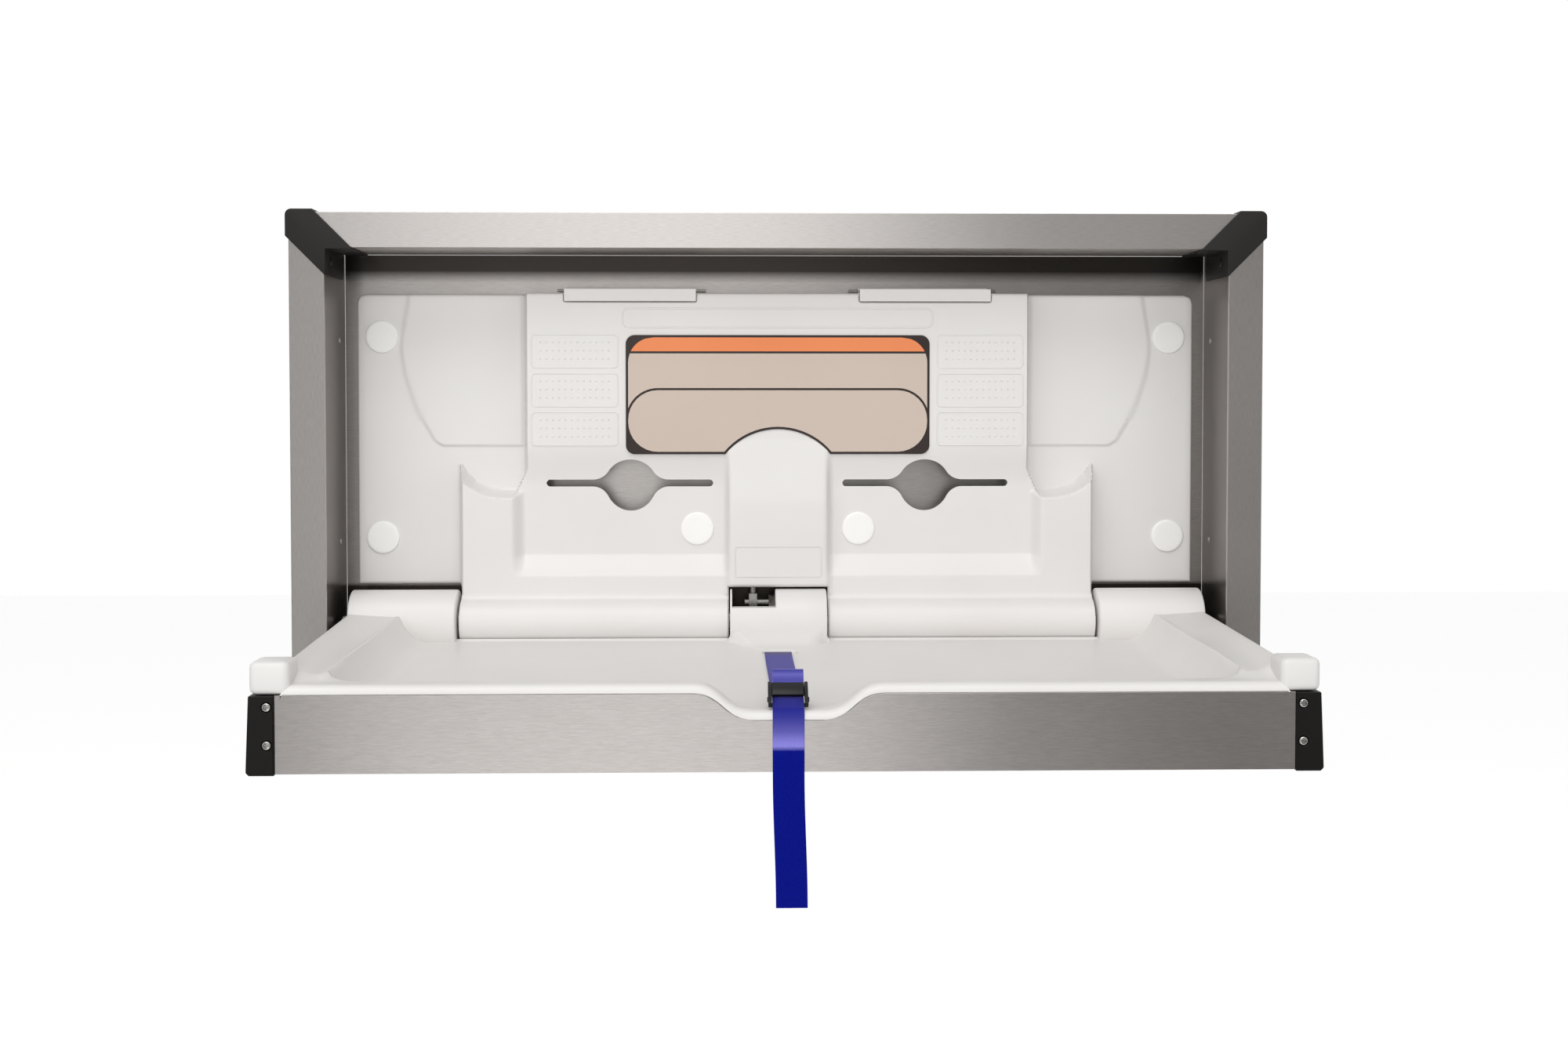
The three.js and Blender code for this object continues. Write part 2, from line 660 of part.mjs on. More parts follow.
function linerFittings() {
  const bodies = [];
  const wall = LINER_WALL;
  for (const plug of PLUGS) {
    const boss = PLUG_STEM_RADIUS + BORE_CLEARANCE + wall;
    bodies.push(rodForward(boss, plug.x, linerBack, plug.front, plug.level));
  }
  for (const side of SIDES) {
    const cup = rodForward(THUMB_RADIUS + wall, side.x * thumbCentre, linerFront, POCKET_FRONT, SLOT_LEVEL);
    const below = block(-boxHalfWidth, boxHalfWidth, linerBack, PILLAR_FRONT, 0, compartmentFloor);
    bodies.push(cup.intersect(below));
    for (const edge of [LID_INNER - RUNNING_GAP - LID_EAR_WIDTH, lidOuter + RUNNING_GAP]) {
      const from = side.x > 0 ? edge : -edge - LID_EAR_WIDTH;
      const back = lidPinReach - LID_EAR_THICKNESS / 2;
      const crown = lidPinLevel + lidBarrelRadius;
      bodies.push(block(from, from + LID_EAR_WIDTH, back, back + LID_EAR_THICKNESS, linerTop - wall, crown));
    }
  }
  return joined(bodies);
}

function linerCuts() {
  const bodies = [rodAcross(
    HINGE_ROD_RADIUS + BORE_CLEARANCE,
    -ridgeHalfWidth - CUT_MARGIN,
    ridgeHalfWidth + CUT_MARGIN,
    0,
    0,
  )];
  bodies.push(block(
    -BARREL_END,
    BARREL_END,
    linerBack - CUT_MARGIN,
    BARREL_RADIUS + CUT_MARGIN,
    -BARREL_RADIUS - CUT_MARGIN,
    LINER_BOTTOM,
  ));
  for (const plug of PLUGS) {
    const seat = linerBack + LINER_WALL;
    const stem = PLUG_STEM_RADIUS + BORE_CLEARANCE;
    bodies.push(rodForward(stem, plug.x, seat, plug.front + CUT_MARGIN, plug.level));
    const shank = WALL_SCREW_RADIUS + BORE_CLEARANCE;
    bodies.push(rodForward(shank, plug.x, linerBack - CUT_MARGIN, seat, plug.level, SMALL_SEGMENTS));
  }
  for (const side of SIDES) {
    const from = side.x > 0 ? COMPARTMENT_INNER : -compartmentOuter;
    const to = from + compartmentOuter - COMPARTMENT_INNER;
    const mouth = side.x > 0 ? LID_INNER : -lidOuter;
    const mouthEnd = mouth + lidOuter - LID_INNER;
    const slotTop = compartmentFloor + SLOT_HEIGHT;
    bodies.push(block(from, to, linerFront, BOX_FRONT + CUT_MARGIN, compartmentFloor, slotTop));
    bodies.push(rodForward(
      THUMB_RADIUS,
      side.x * thumbCentre,
      linerFront + LINER_WALL,
      BOX_FRONT + CUT_MARGIN,
      SLOT_LEVEL,
    ));
    bodies.push(block(
      mouth + LINER_WALL,
      mouthEnd - LINER_WALL,
      lidPinReach + lidBarrelRadius,
      BOX_FRONT - LINER_WALL,
      linerTop - LINER_WALL - CUT_MARGIN,
      linerTop + CUT_MARGIN,
    ));
    bodies.push(rodAcross(
      LID_PIN_RADIUS + BORE_CLEARANCE,
      mouth - LID_EAR_WIDTH - CUT_MARGIN,
      mouthEnd + LID_EAR_WIDTH + CUT_MARGIN,
      lidPinReach,
      lidPinLevel,
      SMALL_SEGMENTS,
    ));
  }
  return joined(bodies);
}

function buildLiner() {
  const shell = linerOutside().subtract(linerInside()).add(linerFittings()).subtract(linerCuts());
  addPart(hinge, 'wall_liner', shell, OFF_WHITE_PLASTIC);
}

function buildLids() {
  for (const side of SIDES) {
    const from = side.x > 0 ? LID_INNER : -lidOuter;
    const to = from + lidOuter - LID_INNER;
    const plate = block(from, to, lidPinReach, lidFront, lidBottom, lidBottom + LID_THICKNESS);
    const lip = block(
      from,
      to,
      BOX_FRONT + SEAT_GAP,
      lidFront,
      lidBottom + LID_THICKNESS - LID_LIP,
      lidBottom + LID_THICKNESS,
    );
    const barrel = rodAcross(lidBarrelRadius, from, to, lidPinReach, lidPinLevel, SMALL_SEGMENTS);
    const bore = rodAcross(
      LID_PIN_RADIUS + BORE_CLEARANCE,
      from - CUT_MARGIN,
      to + CUT_MARGIN,
      lidPinReach,
      lidPinLevel,
      SMALL_SEGMENTS,
    );
    const lid = joined([plate, lip, barrel]).subtract(bore);
    addPart(hinge, `dispenser_lid_${side.name}`, lid, OFF_WHITE_PLASTIC);
    const start = from - RUNNING_GAP - LID_EAR_WIDTH;
    const end = to + RUNNING_GAP + LID_EAR_WIDTH;
    const pin = rodAcross(LID_PIN_RADIUS, start, end, lidPinReach, lidPinLevel, SMALL_SEGMENTS);
    addPart(hinge, `lid_hinge_pin_${side.name}`, pin, BRIGHT_STEEL);
  }
}

function buildNoticePlate() {
  const half = PLATE_HALF_WIDTH;
  const outline = roundedRectangle(-half, PLATE_BOTTOM, half, plateTop, PLATE_CORNER);
  const back = BOX_FRONT + SEAT_GAP;
  const plate = acrossDepth(outline, back, back + PLATE_THICKNESS);
  const arch = acrossDepth(pillarShape(RUNNING_GAP), back - CUT_MARGIN, back + CUT_MARGIN);
  addPart(hinge, 'notice_plate', plate.subtract(arch), PLATE_FINISH);
}

function buildPlugs() {
  for (const plug of PLUGS) {
    const back = plug.front + SEAT_GAP;
    const cap = rodForward(PLUG_RADIUS, plug.x, back, back + PLUG_CAP, plug.level);
    const stem = rodForward(PLUG_STEM_RADIUS, plug.x, back - PLUG_STEM, back + PLUG_CAP, plug.level);
    addPart(hinge, `screw_plug_${plug.name}`, cap.add(stem), WHITE_PLASTIC);
    const seat = linerBack + LINER_WALL + SEAT_GAP;
    const crown = seat + WALL_SCREW_HEAD;
    const head = rodForward(WALL_SCREW_HEAD_RADIUS, plug.x, seat, crown, plug.level, SMALL_SEGMENTS);
    const shank = rodForward(WALL_SCREW_RADIUS, plug.x, hingeY, crown, plug.level, SMALL_SEGMENTS);
    addPart(hinge, `wall_screw_${plug.name}`, head.add(shank), BRIGHT_STEEL);
  }
}

// Tray: a hollow moulding, open below, with a basin, three hinge knuckles and a lip

const panelTop = TRAY_BOTTOM + PANEL_SHEET;
const shellBottom = panelTop + SEAT_GAP;
const shellArc = REAR_ARC_RADIUS - PANEL_SHEET - SEAT_GAP;
const barrelRoom = BARREL_RADIUS + RUNNING_GAP;
const lipBack = trayReach - PANEL_SHEET;

function floorLevel(reach) {
  const share = (reach - barrelRoom) / (basinFront - BASIN_FRONT_DRAFT - barrelRoom);
  return FLOOR_REAR + (FLOOR_FRONT - FLOOR_REAR) * share;
}

function trayHalfWidth(reach) {
  const share = reach / earStart;
  return trayRearHalfWidth + (trayFrontHalfWidth - trayRearHalfWidth) * share;
}

// Plan outline of the tray behind its lip, narrowing toward the front
function trayPlan() {
  const rear = -REAR_ARC_RADIUS - CUT_MARGIN;
  const front = earStart + CUT_MARGIN;
  return [
    [-trayHalfWidth(0), rear],
    [-trayHalfWidth(0), 0],
    [-trayHalfWidth(front), front],
    [trayHalfWidth(front), front],
    [trayHalfWidth(0), 0],
    [trayHalfWidth(0), rear],
  ];
}

// Rear of the tray and its panel: an arc about the hinge that runs out along a chamfer to the bottom
function undersideCurve(radius, level) {
  return [
    ...arcAroundHinge(radius, REAR_ARC_END, REAR_ARC_START, 6),
    [CHAMFER_REACH, level],
  ];
}

function trayBodyProfile() {
  return polygon([
    ...undersideCurve(shellArc, shellBottom),
    [earStart, shellBottom],
    [earStart, TRAY_RIM],
    [barrelRoom * Math.cos(Math.asin(TRAY_RIM / barrelRoom)), TRAY_RIM],
    ...arcAroundHinge(barrelRoom, 0, REAR_ARC_END, 10),
  ]);
}

function dipShape(raise, top) {
  const level = DIP_LEVEL + raise;
  const middle = (DIP_TOP_HALF_WIDTH + DIP_BOTTOM_HALF_WIDTH) / 2;
  const shoulder = LIP_TOP + raise;
  const shape = new THREE.Shape();
  shape.moveTo(-DIP_TOP_HALF_WIDTH, top);
  shape.lineTo(-DIP_TOP_HALF_WIDTH, shoulder);
  shape.bezierCurveTo(-middle, shoulder, -middle, level, -DIP_BOTTOM_HALF_WIDTH, level);
  shape.lineTo(DIP_BOTTOM_HALF_WIDTH, level);
  shape.bezierCurveTo(middle, level, middle, shoulder, DIP_TOP_HALF_WIDTH, shoulder);
  shape.lineTo(DIP_TOP_HALF_WIDTH, top);
  return shape;
}

function trayLip() {
  const start = earStart - TRAY_WALL;
  const lower = lipCapInner - SEAT_GAP;
  const half = earHalfWidth;
  const noseMiddle = (LIP_TOP + FRONT_RIM) / 2;
  const nose = polygon([
    [start, LIP_TOP + SEAT_GAP],
    [trayReach, LIP_TOP + SEAT_GAP],
    [trayReach, FRONT_RIM - NOSE_CHAMFER],
    [trayReach - NOSE_CHAMFER, FRONT_RIM],
    [start, FRONT_RIM],
  ]);
  const bodies = [
    block(-lower, lower, start + SEAT_GAP, lipBack - SEAT_GAP, shellBottom, noseMiddle),
    acrossWidth(nose, -half, half),
  ];
  for (const side of SIDES) {
    const from = side.x > 0 ? earInner : -earHalfWidth;
    const to = from + earHalfWidth - earInner;
    bodies.push(block(from, to, start, trayReach, noseMiddle, TRAY_EAR_TOP));
  }
  return joined(bodies);
}

// Basin: sloped walls down to a floor that falls toward the front
function trayBasin() {
  const rim = TRAY_RIM + CUT_MARGIN;
  const drop = TRAY_RIM - FLOOR_FRONT;
  const spread = (level) => basinHalfWidth - (BASIN_DRAFT * (TRAY_RIM - level)) / drop;
  const frontAt = (level) => basinFront - (BASIN_FRONT_DRAFT * (TRAY_RIM - level)) / drop;
  const front = polygon([
    [-spread(FLOOR_FRONT - TRAY_WALL), FLOOR_FRONT - TRAY_WALL],
    [spread(FLOOR_FRONT - TRAY_WALL), FLOOR_FRONT - TRAY_WALL],
    [spread(rim), rim],
    [-spread(rim), rim],
  ]);
  const side = polygon([
    [0, FLOOR_REAR],
    [barrelRoom, FLOOR_REAR],
    [frontAt(FLOOR_FRONT), FLOOR_FRONT],
    [frontAt(FLOOR_FRONT) + TRAY_WALL, FLOOR_FRONT + TRAY_WALL],
    [frontAt(rim), rim],
    [0, rim],
  ]);
  const walls = acrossDepth(front, -CUT_MARGIN, trayReach + CUT_MARGIN);
  return walls.intersect(acrossWidth(side, -basinHalfWidth - CUT_MARGIN, basinHalfWidth + CUT_MARGIN));
}

function knuckles() {
  const bodies = [rodAcross(KNUCKLE_RADIUS, -CENTRE_KNUCKLE_HALF_WIDTH, CENTRE_KNUCKLE_HALF_WIDTH, 0, 0)];
  for (const side of SIDES) {
    const from = side.x > 0 ? knuckleInner : -knuckleOuter;
    bodies.push(rodAcross(KNUCKLE_RADIUS, from, from + knuckleOuter - knuckleInner, 0, 0));
  }
  return joined(bodies);
}

// Ramp from the centre knuckle down to the strap slot
function tongue() {
  const root = KNUCKLE_RADIUS * Math.cos(Math.asin(TONGUE_LEVEL / KNUCKLE_RADIUS));
  const profile = polygon([
    [barrelRoom, FLOOR_REAR - TRAY_WALL],
    [TONGUE_REACH, floorLevel(TONGUE_REACH) - TRAY_WALL],
    [TONGUE_REACH, floorLevel(TONGUE_REACH)],
    [root, TONGUE_LEVEL],
    [0, TONGUE_LEVEL],
  ]);
  const plan = [
    [-CENTRE_KNUCKLE_HALF_WIDTH, 0],
    [CENTRE_KNUCKLE_HALF_WIDTH, 0],
    [CENTRE_KNUCKLE_HALF_WIDTH, KNUCKLE_RADIUS],
    [TONGUE_TIP_HALF_WIDTH, TONGUE_REACH],
    [-TONGUE_TIP_HALF_WIDTH, TONGUE_REACH],
    [-CENTRE_KNUCKLE_HALF_WIDTH, KNUCKLE_RADIUS],
  ];
  const half = CENTRE_KNUCKLE_HALF_WIDTH - SEAT_GAP;
  return acrossWidth(profile, -half, half).intersect(acrossHeight(plan, TRAY_BOTTOM, TRAY_RIM));
}

// Hollow behind the chamfer, outside a radius about the hinge
function rearHollow(radius, fromX, toX) {
  const profile = polygon([
    ...arcAroundHinge(radius, REAR_ARC_END + REAR_WALL_ANGLE, REAR_HOLLOW_END, 5),
    [KNUCKLE_RADIUS + TRAY_WALL + CUT_MARGIN, shellBottom - CUT_MARGIN],
    ...arcAroundHinge(REAR_ARC_RADIUS + CUT_MARGIN, REAR_ARC_START, REAR_ARC_END + REAR_WALL_ANGLE, 4),
  ]);
  return acrossWidth(profile, fromX, toX);
}

// Hollow under the floor and under each side rim
function trayHollow() {
  const wall = TRAY_WALL;
  const below = shellBottom - CUT_MARGIN;
  const frontWall = lipBack - SEAT_GAP - wall;
  const underFloor = polygon([
    [CHAMFER_REACH, below],
    [frontWall, below],
    [frontWall, FLOOR_FRONT - wall],
    [basinFront - BASIN_FRONT_DRAFT, FLOOR_FRONT - wall],
    [KNUCKLE_RADIUS + wall, floorLevel(KNUCKLE_RADIUS + wall) - wall],
    [KNUCKLE_RADIUS + wall, below],
  ]);
  const half = trayFrontHalfWidth - wall;
  const rearHalf = knuckleOuter - wall;
  const bodies = [
    acrossWidth(underFloor, -half, half),
    rearHollow(KNUCKLE_RADIUS + wall, -rearHalf, rearHalf),
  ];
  for (const side of SIDES) {
    const from = side.x > 0 ? BARREL_END : -ridgeHalfWidth;
    bodies.push(rearHollow(barrelRoom + wall, from, from + ridgeHalfWidth - BARREL_END));
    const inner = side.x * (basinHalfWidth + wall);
    const outerRear = side.x * (trayHalfWidth(KNUCKLE_RADIUS + wall) - wall);
    const outerFront = side.x * (trayHalfWidth(earStart - wall) - wall);
    const plan = [
      [inner, KNUCKLE_RADIUS + wall],
      [outerRear, KNUCKLE_RADIUS + wall],
      [outerFront, earStart - wall],
      [inner, earStart - wall],
    ];
    bodies.push(acrossHeight(plan, below, TRAY_RIM - wall));
  }
  return joined(bodies);
}

function trayNotch() {
  const from = -CENTRE_KNUCKLE_HALF_WIDTH + NOTCH_WALL;
  const reach = KNUCKLE_RADIUS + CUT_MARGIN;
  return joined([
    block(from, NOTCH_INNER, -reach, reach, NOTCH_LEVEL, reach),
    block(from, NOTCH_INNER, -reach - CUT_MARGIN, CRANK_PIN_RADIUS, -KNUCKLE_RADIUS + TRAY_WALL, reach),
    rodAcross(CRANK_HUB_RADIUS + RUNNING_GAP, from, NOTCH_INNER, 0, 0),
  ]);
}

function trayCuts() {
  const bore = HINGE_ROD_RADIUS + BORE_CLEARANCE;
  const dipFloor = FRONT_RIM - LIP_TOP;
  const saddle = polygon([
    [trayReach - SADDLE_RUN, DIP_LEVEL + dipFloor],
    [trayReach + CUT_MARGIN, DIP_LEVEL - (dipFloor * CUT_MARGIN) / SADDLE_RUN],
    [trayReach + CUT_MARGIN, LIP_TOP],
    [trayReach - SADDLE_RUN, LIP_TOP],
  ]);
  const slot = block(
    -STRAP_SLOT_WIDTH / 2,
    STRAP_SLOT_WIDTH / 2,
    STRAP_SLOT_REACH,
    STRAP_SLOT_REACH + STRAP_SLOT_LENGTH,
    FLOOR_FRONT - TRAY_WALL,
    TRAY_RIM,
  );
  return joined([
    rodAcross(bore, -knuckleOuter - CUT_MARGIN, knuckleOuter + CUT_MARGIN, 0, 0),
    acrossDepth(dipShape(dipFloor, TRAY_RIM), basinFront - BASIN_FRONT_DRAFT, trayReach + CUT_MARGIN),
    acrossWidth(saddle, -DIP_BOTTOM_HALF_WIDTH, DIP_BOTTOM_HALF_WIDTH),
    slot,
    trayNotch(),
  ]);
}

function buildTray() {
  const plan = acrossHeight(trayPlan(), TRAY_BOTTOM, TRAY_RIM + CUT_MARGIN);
  const body = acrossWidth(trayBodyProfile(), -trayRearHalfWidth, trayRearHalfWidth).intersect(plan);
  const moulded = joined([body, trayLip()]).subtract(trayBasin()).add(knuckles()).add(tongue());
  const shell = moulded.subtract(trayHollow()).subtract(trayCuts());
  addPart(hinge, 'tray_shell', shell, OFF_WHITE_PLASTIC);
}

// Door panel: one folded steel sheet round the back, underside and lip of the tray
function buildDoorPanel() {
  const profile = polygon([
    ...undersideCurve(REAR_ARC_RADIUS, TRAY_BOTTOM),
    [trayReach, TRAY_BOTTOM],
    [trayReach, LIP_TOP],
    [lipBack, LIP_TOP],
    [lipBack, panelTop],
    ...undersideCurve(REAR_ARC_RADIUS - PANEL_SHEET, panelTop).reverse(),
  ]);
  const sheet = acrossWidth(profile, -panelHalfWidth, panelHalfWidth);
  const dip = acrossDepth(dipShape(0, TRAY_RIM), lipBack - CUT_MARGIN, trayReach + CUT_MARGIN);
  const corners = SIDES.map((side) => {
    const lipEnd = lipCapInner - SEAT_GAP;
    const beyond = panelHalfWidth + CUT_MARGIN;
    const from = side.x > 0 ? lipEnd : -beyond;
    const back = trayReach + LIP_CAP_PROUD - LIP_CAP_DEPTH - SEAT_GAP;
    return block(from, from + beyond - lipEnd, back, trayReach + CUT_MARGIN, TRAY_BOTTOM - CUT_MARGIN, 0);
  });
  addPart(hinge, 'door_panel', sheet.subtract(dip).subtract(joined(corners)), BRUSHED_STEEL);
}

function lipCapShape(side, inset) {
  const top = LIP_TOP - SEAT_GAP - inset;
  const bottom = TRAY_BOTTOM - LIP_CAP_PROUD + inset;
  return polygon([
    [side * (lipCapInner + inset), bottom],
    [side * (earHalfWidth + LIP_CAP_FLARE - LIP_CAP_WALL - inset), bottom],
    [side * (earHalfWidth + LIP_CAP_FLARE - inset), bottom + LIP_CAP_WALL],
    [side * (earHalfWidth - inset), top],
    [side * (lipCapInner + inset), top],
  ]);
}

function buildLipCaps() {
  const front = trayReach + LIP_CAP_PROUD;
  const back = front - LIP_CAP_DEPTH;
  for (const side of SIDES) {
    const whole = acrossDepth(lipCapShape(side.x, 0), back, front);
    const hollow = acrossDepth(lipCapShape(side.x, LIP_CAP_WALL), back - CUT_MARGIN, front - LIP_CAP_WALL);
    const x = side.x * lipScrewX;
    const seat = front - LIP_SCREW_HEAD;
    const holes = LIP_SCREW_LEVELS.flatMap((level) => [
      rodForward(LIP_SCREW_RADIUS + BORE_CLEARANCE, x, back, front, level, SMALL_SEGMENTS),
      rodForward(
        LIP_SCREW_HEAD_RADIUS + BORE_CLEARANCE,
        x,
        seat - SEAT_GAP,
        front + CUT_MARGIN,
        level,
        SMALL_SEGMENTS,
      ),
    ]);
    addPart(hinge, `lip_cap_${side.name}`, whole.subtract(hollow).subtract(joined(holes)), BLACK_PLASTIC);
    LIP_SCREW_LEVELS.forEach((level, index) => {
      const tip = front - LIP_SCREW_LENGTH;
      const head = rodForward(LIP_SCREW_HEAD_RADIUS, x, seat, front, level, SMALL_SEGMENTS);
      const shank = rodForward(LIP_SCREW_RADIUS, x, tip, front, level, SMALL_SEGMENTS);
      const place = index === 0 ? 'upper' : 'lower';
      addPart(hinge, `lip_screw_${side.name}_${place}`, head.add(shank), BRIGHT_STEEL);
    });
  }
}

// Stiffeners between the tray floor and the door panel
function buildChannels() {
  channelReaches.forEach((reach, index) => {
    const half = channelHalf;
    const back = reach - CHANNEL_WIDTH / 2;
    const front = reach + CHANNEL_WIDTH / 2;
    const top = floorLevel(front) - TRAY_WALL - SEAT_GAP;
    const whole = block(-half, half, back, front, shellBottom, top);
    const hollow = block(
      -half - CUT_MARGIN,
      half + CUT_MARGIN,
      back + CHANNEL_SHEET,
      front - CHANNEL_SHEET,
      shellBottom - CUT_MARGIN,
      top - CHANNEL_SHEET,
    );
    const place = index === 0 ? 'rear' : 'front';
    addPart(hinge, `stiffener_channel_${place}`, whole.subtract(hollow), BRIGHT_STEEL);
  });
}

function ring(radius, bore, fromX, toX) {
  const hole = rodAcross(bore, fromX - CUT_MARGIN, toX + CUT_MARGIN, 0, 0);
  return rodAcross(radius, fromX, toX, 0, 0).subtract(hole);
}

function buildHingeRod() {
  const end = knuckleOuter + SEAT_GAP + RETAINER_LENGTH + HINGE_ROD_OVERHANG;
  const bore = HINGE_ROD_RADIUS + BORE_CLEARANCE;
  addPart(hinge, 'hinge_rod', rodAcross(HINGE_ROD_RADIUS, -end, end, 0, 0), BRIGHT_STEEL);
  for (const side of SIDES) {
    const seat = knuckleOuter + SEAT_GAP;
    const from = side.x > 0 ? seat : -seat - RETAINER_LENGTH;
    const retainer = ring(RETAINER_RADIUS, bore, from, from + RETAINER_LENGTH);
    addPart(hinge, `hinge_retainer_${side.name}`, retainer, DARK_METAL);
    const thickness = RUNNING_GAP - 2 * SEAT_GAP;
    const seats = [
      { place: 'inner', x: CENTRE_KNUCKLE_HALF_WIDTH + SEAT_GAP },
      { place: 'outer', x: ridgeHalfWidth + SEAT_GAP },
    ];
    for (const { place, x } of seats) {
      const washerFrom = side.x > 0 ? x : -x - thickness;
      const washer = ring(WASHER_RADIUS, bore, washerFrom, washerFrom + thickness);
      addPart(hinge, `hinge_washer_${side.name}_${place}`, washer, WHITE_PLASTIC);
    }
  }
}

// Damper: a cylinder held in the pillar, and a rod whose slotted eye rides on the tray's crank pin

const pinOpen = aroundHinge(CRANK_RADIUS, CRANK_OPEN_ANGLE);
const pinFarthest = -CRANK_RADIUS;
const eyeReach = (pinOpen[0] + pinFarthest) / 2;
const eyeLevel = pinOpen[1];
const slotHalfLength = (pinOpen[0] - pinFarthest) / 2 + CRANK_PIN_RADIUS + EYE_SIDE_CLEARANCE;
const slotHalfHeight = CRANK_PIN_RADIUS + EYE_LIFT_CLEARANCE;
const cylinderTop = CYLINDER_BOTTOM + CYLINDER_LENGTH;
const clevisLevel = cylinderTop + CLEVIS_RISE;

function buildCrank() {
  const from = NOTCH_INNER - SEAT_GAP - CRANK_PLATE;
  const to = NOTCH_INNER - SEAT_GAP;
  const half = KNUCKLE_RADIUS - CRANK_RADIUS;
  const [reach, level] = pinOpen;
  const across = [(-level / CRANK_RADIUS) * half, (reach / CRANK_RADIUS) * half];
  const arm = polygon([
    [-across[0], -across[1]],
    [reach - across[0], level - across[1]],
    [reach + across[0], level + across[1]],
    [across[0], across[1]],
  ]);
  const plate = joined([
    rodAcross(CRANK_HUB_RADIUS, from, to, 0, 0),
    rodAcross(half, from, to, reach, level),
    acrossWidth(arm, from, to),
  ]);
  const bores = joined([
    rodAcross(HINGE_ROD_RADIUS + BORE_CLEARANCE, from - CUT_MARGIN, to + CUT_MARGIN, 0, 0),
    rodAcross(CRANK_PIN_RADIUS + BORE_CLEARANCE, from - CUT_MARGIN, to + CUT_MARGIN, reach, level),
  ]);
  addPart(hinge, 'crank_lever', plate.subtract(bores), BRIGHT_STEEL);
  const pinEnd = DAMPER_X - EYE_THICKNESS / 2 - RUNNING_GAP - CRANK_PIN_RADIUS;
  const pin = rodAcross(CRANK_PIN_RADIUS, pinEnd, to - SEAT_GAP, reach, level, SMALL_SEGMENTS);
  addPart(hinge, 'crank_pin', pin, BRIGHT_STEEL);
}

function buildDamper() {
  const from = DAMPER_X - EYE_THICKNESS / 2;
  const to = DAMPER_X + EYE_THICKNESS / 2;
  const eyeTop = eyeLevel + slotHalfHeight + EYE_WALL;
  const eye = block(
    from,
    to,
    eyeReach - slotHalfLength - EYE_WALL,
    eyeReach + slotHalfLength + EYE_WALL,
    eyeLevel - slotHalfHeight - EYE_WALL,
    eyeTop,
  );
  const slot = block(
    from - CUT_MARGIN,
    to + CUT_MARGIN,
    eyeReach - slotHalfLength,
    eyeReach + slotHalfLength,
    eyeLevel - slotHalfHeight,
    eyeLevel + slotHalfHeight,
  );
  const stemFoot = eyeTop - EYE_WALL / 2;
  const stem = rodUpright(DAMPER_ROD_RADIUS, DAMPER_X, eyeReach, stemFoot, eyeTop + DAMPER_ROD_LENGTH);
  addPart(hinge, 'damper_rod', eye.subtract(slot).add(stem), BRIGHT_STEEL);

  const barrel = rodUpright(CYLINDER_RADIUS, DAMPER_X, eyeReach, CYLINDER_BOTTOM, cylinderTop);
  const bore = rodUpright(
    CYLINDER_BORE,
    DAMPER_X,
    eyeReach,
    CYLINDER_BOTTOM - CUT_MARGIN,
    cylinderTop - CYLINDER_END,
  );
  const lugHalf = CLEVIS_PIN_RADIUS + EYE_WALL;
  const lug = block(
    from,
    to,
    eyeReach - lugHalf,
    eyeReach + lugHalf,
    cylinderTop - CYLINDER_END / 2,
    clevisLevel + lugHalf,
  );
  const pinBore = CLEVIS_PIN_RADIUS + BORE_CLEARANCE;
  const pinHalf = BRACKET_WIDTH / 2 - CRANK_PIN_RADIUS;
  const pinHole = rodAcross(
    pinBore,
    DAMPER_X - BRACKET_WIDTH,
    DAMPER_X + BRACKET_WIDTH,
    eyeReach,
    clevisLevel,
  );
  addPart(hinge, 'damper_cylinder', barrel.subtract(bore).add(lug).subtract(pinHole), DARK_METAL);

  const glandTop = CYLINDER_BOTTOM - SEAT_GAP;
  const glandBore = DAMPER_ROD_RADIUS + BORE_CLEARANCE;
  const glandFoot = glandTop - GLAND_LENGTH;
  const gland = rodUpright(CYLINDER_RADIUS, DAMPER_X, eyeReach, glandFoot, glandTop);
  const glandHole = rodUpright(glandBore, DAMPER_X, eyeReach, glandFoot - CUT_MARGIN, cylinderTop);
  addPart(hinge, 'damper_gland', gland.subtract(glandHole), BLACK_PLASTIC);

  const base = block(
    DAMPER_X - BRACKET_WIDTH / 2,
    DAMPER_X + BRACKET_WIDTH / 2,
    linerBack,
    linerBack + BRACKET_SHEET,
    clevisLevel - BRACKET_HEIGHT / 2,
    clevisLevel + BRACKET_HEIGHT / 2,
  );
  const cheeks = [-1, 1].map((turn) => {
    const near = EYE_THICKNESS / 2 + RUNNING_GAP;
    const start = turn > 0 ? DAMPER_X + near : DAMPER_X - near - BRACKET_SHEET;
    return block(
      start,
      start + BRACKET_SHEET,
      linerBack,
      eyeReach + BRACKET_CHEEK,
      clevisLevel - BRACKET_CHEEK,
      clevisLevel + BRACKET_CHEEK,
    );
  });
  addPart(hinge, 'damper_bracket', joined([base, ...cheeks]).subtract(pinHole), BRIGHT_STEEL);
  const pinStart = DAMPER_X - pinHalf;
  const pinEnd = DAMPER_X + pinHalf;
  const clevisPin = rodAcross(CLEVIS_PIN_RADIUS, pinStart, pinEnd, eyeReach, clevisLevel);
  addPart(hinge, 'damper_pin', clevisPin, BRIGHT_STEEL);
}

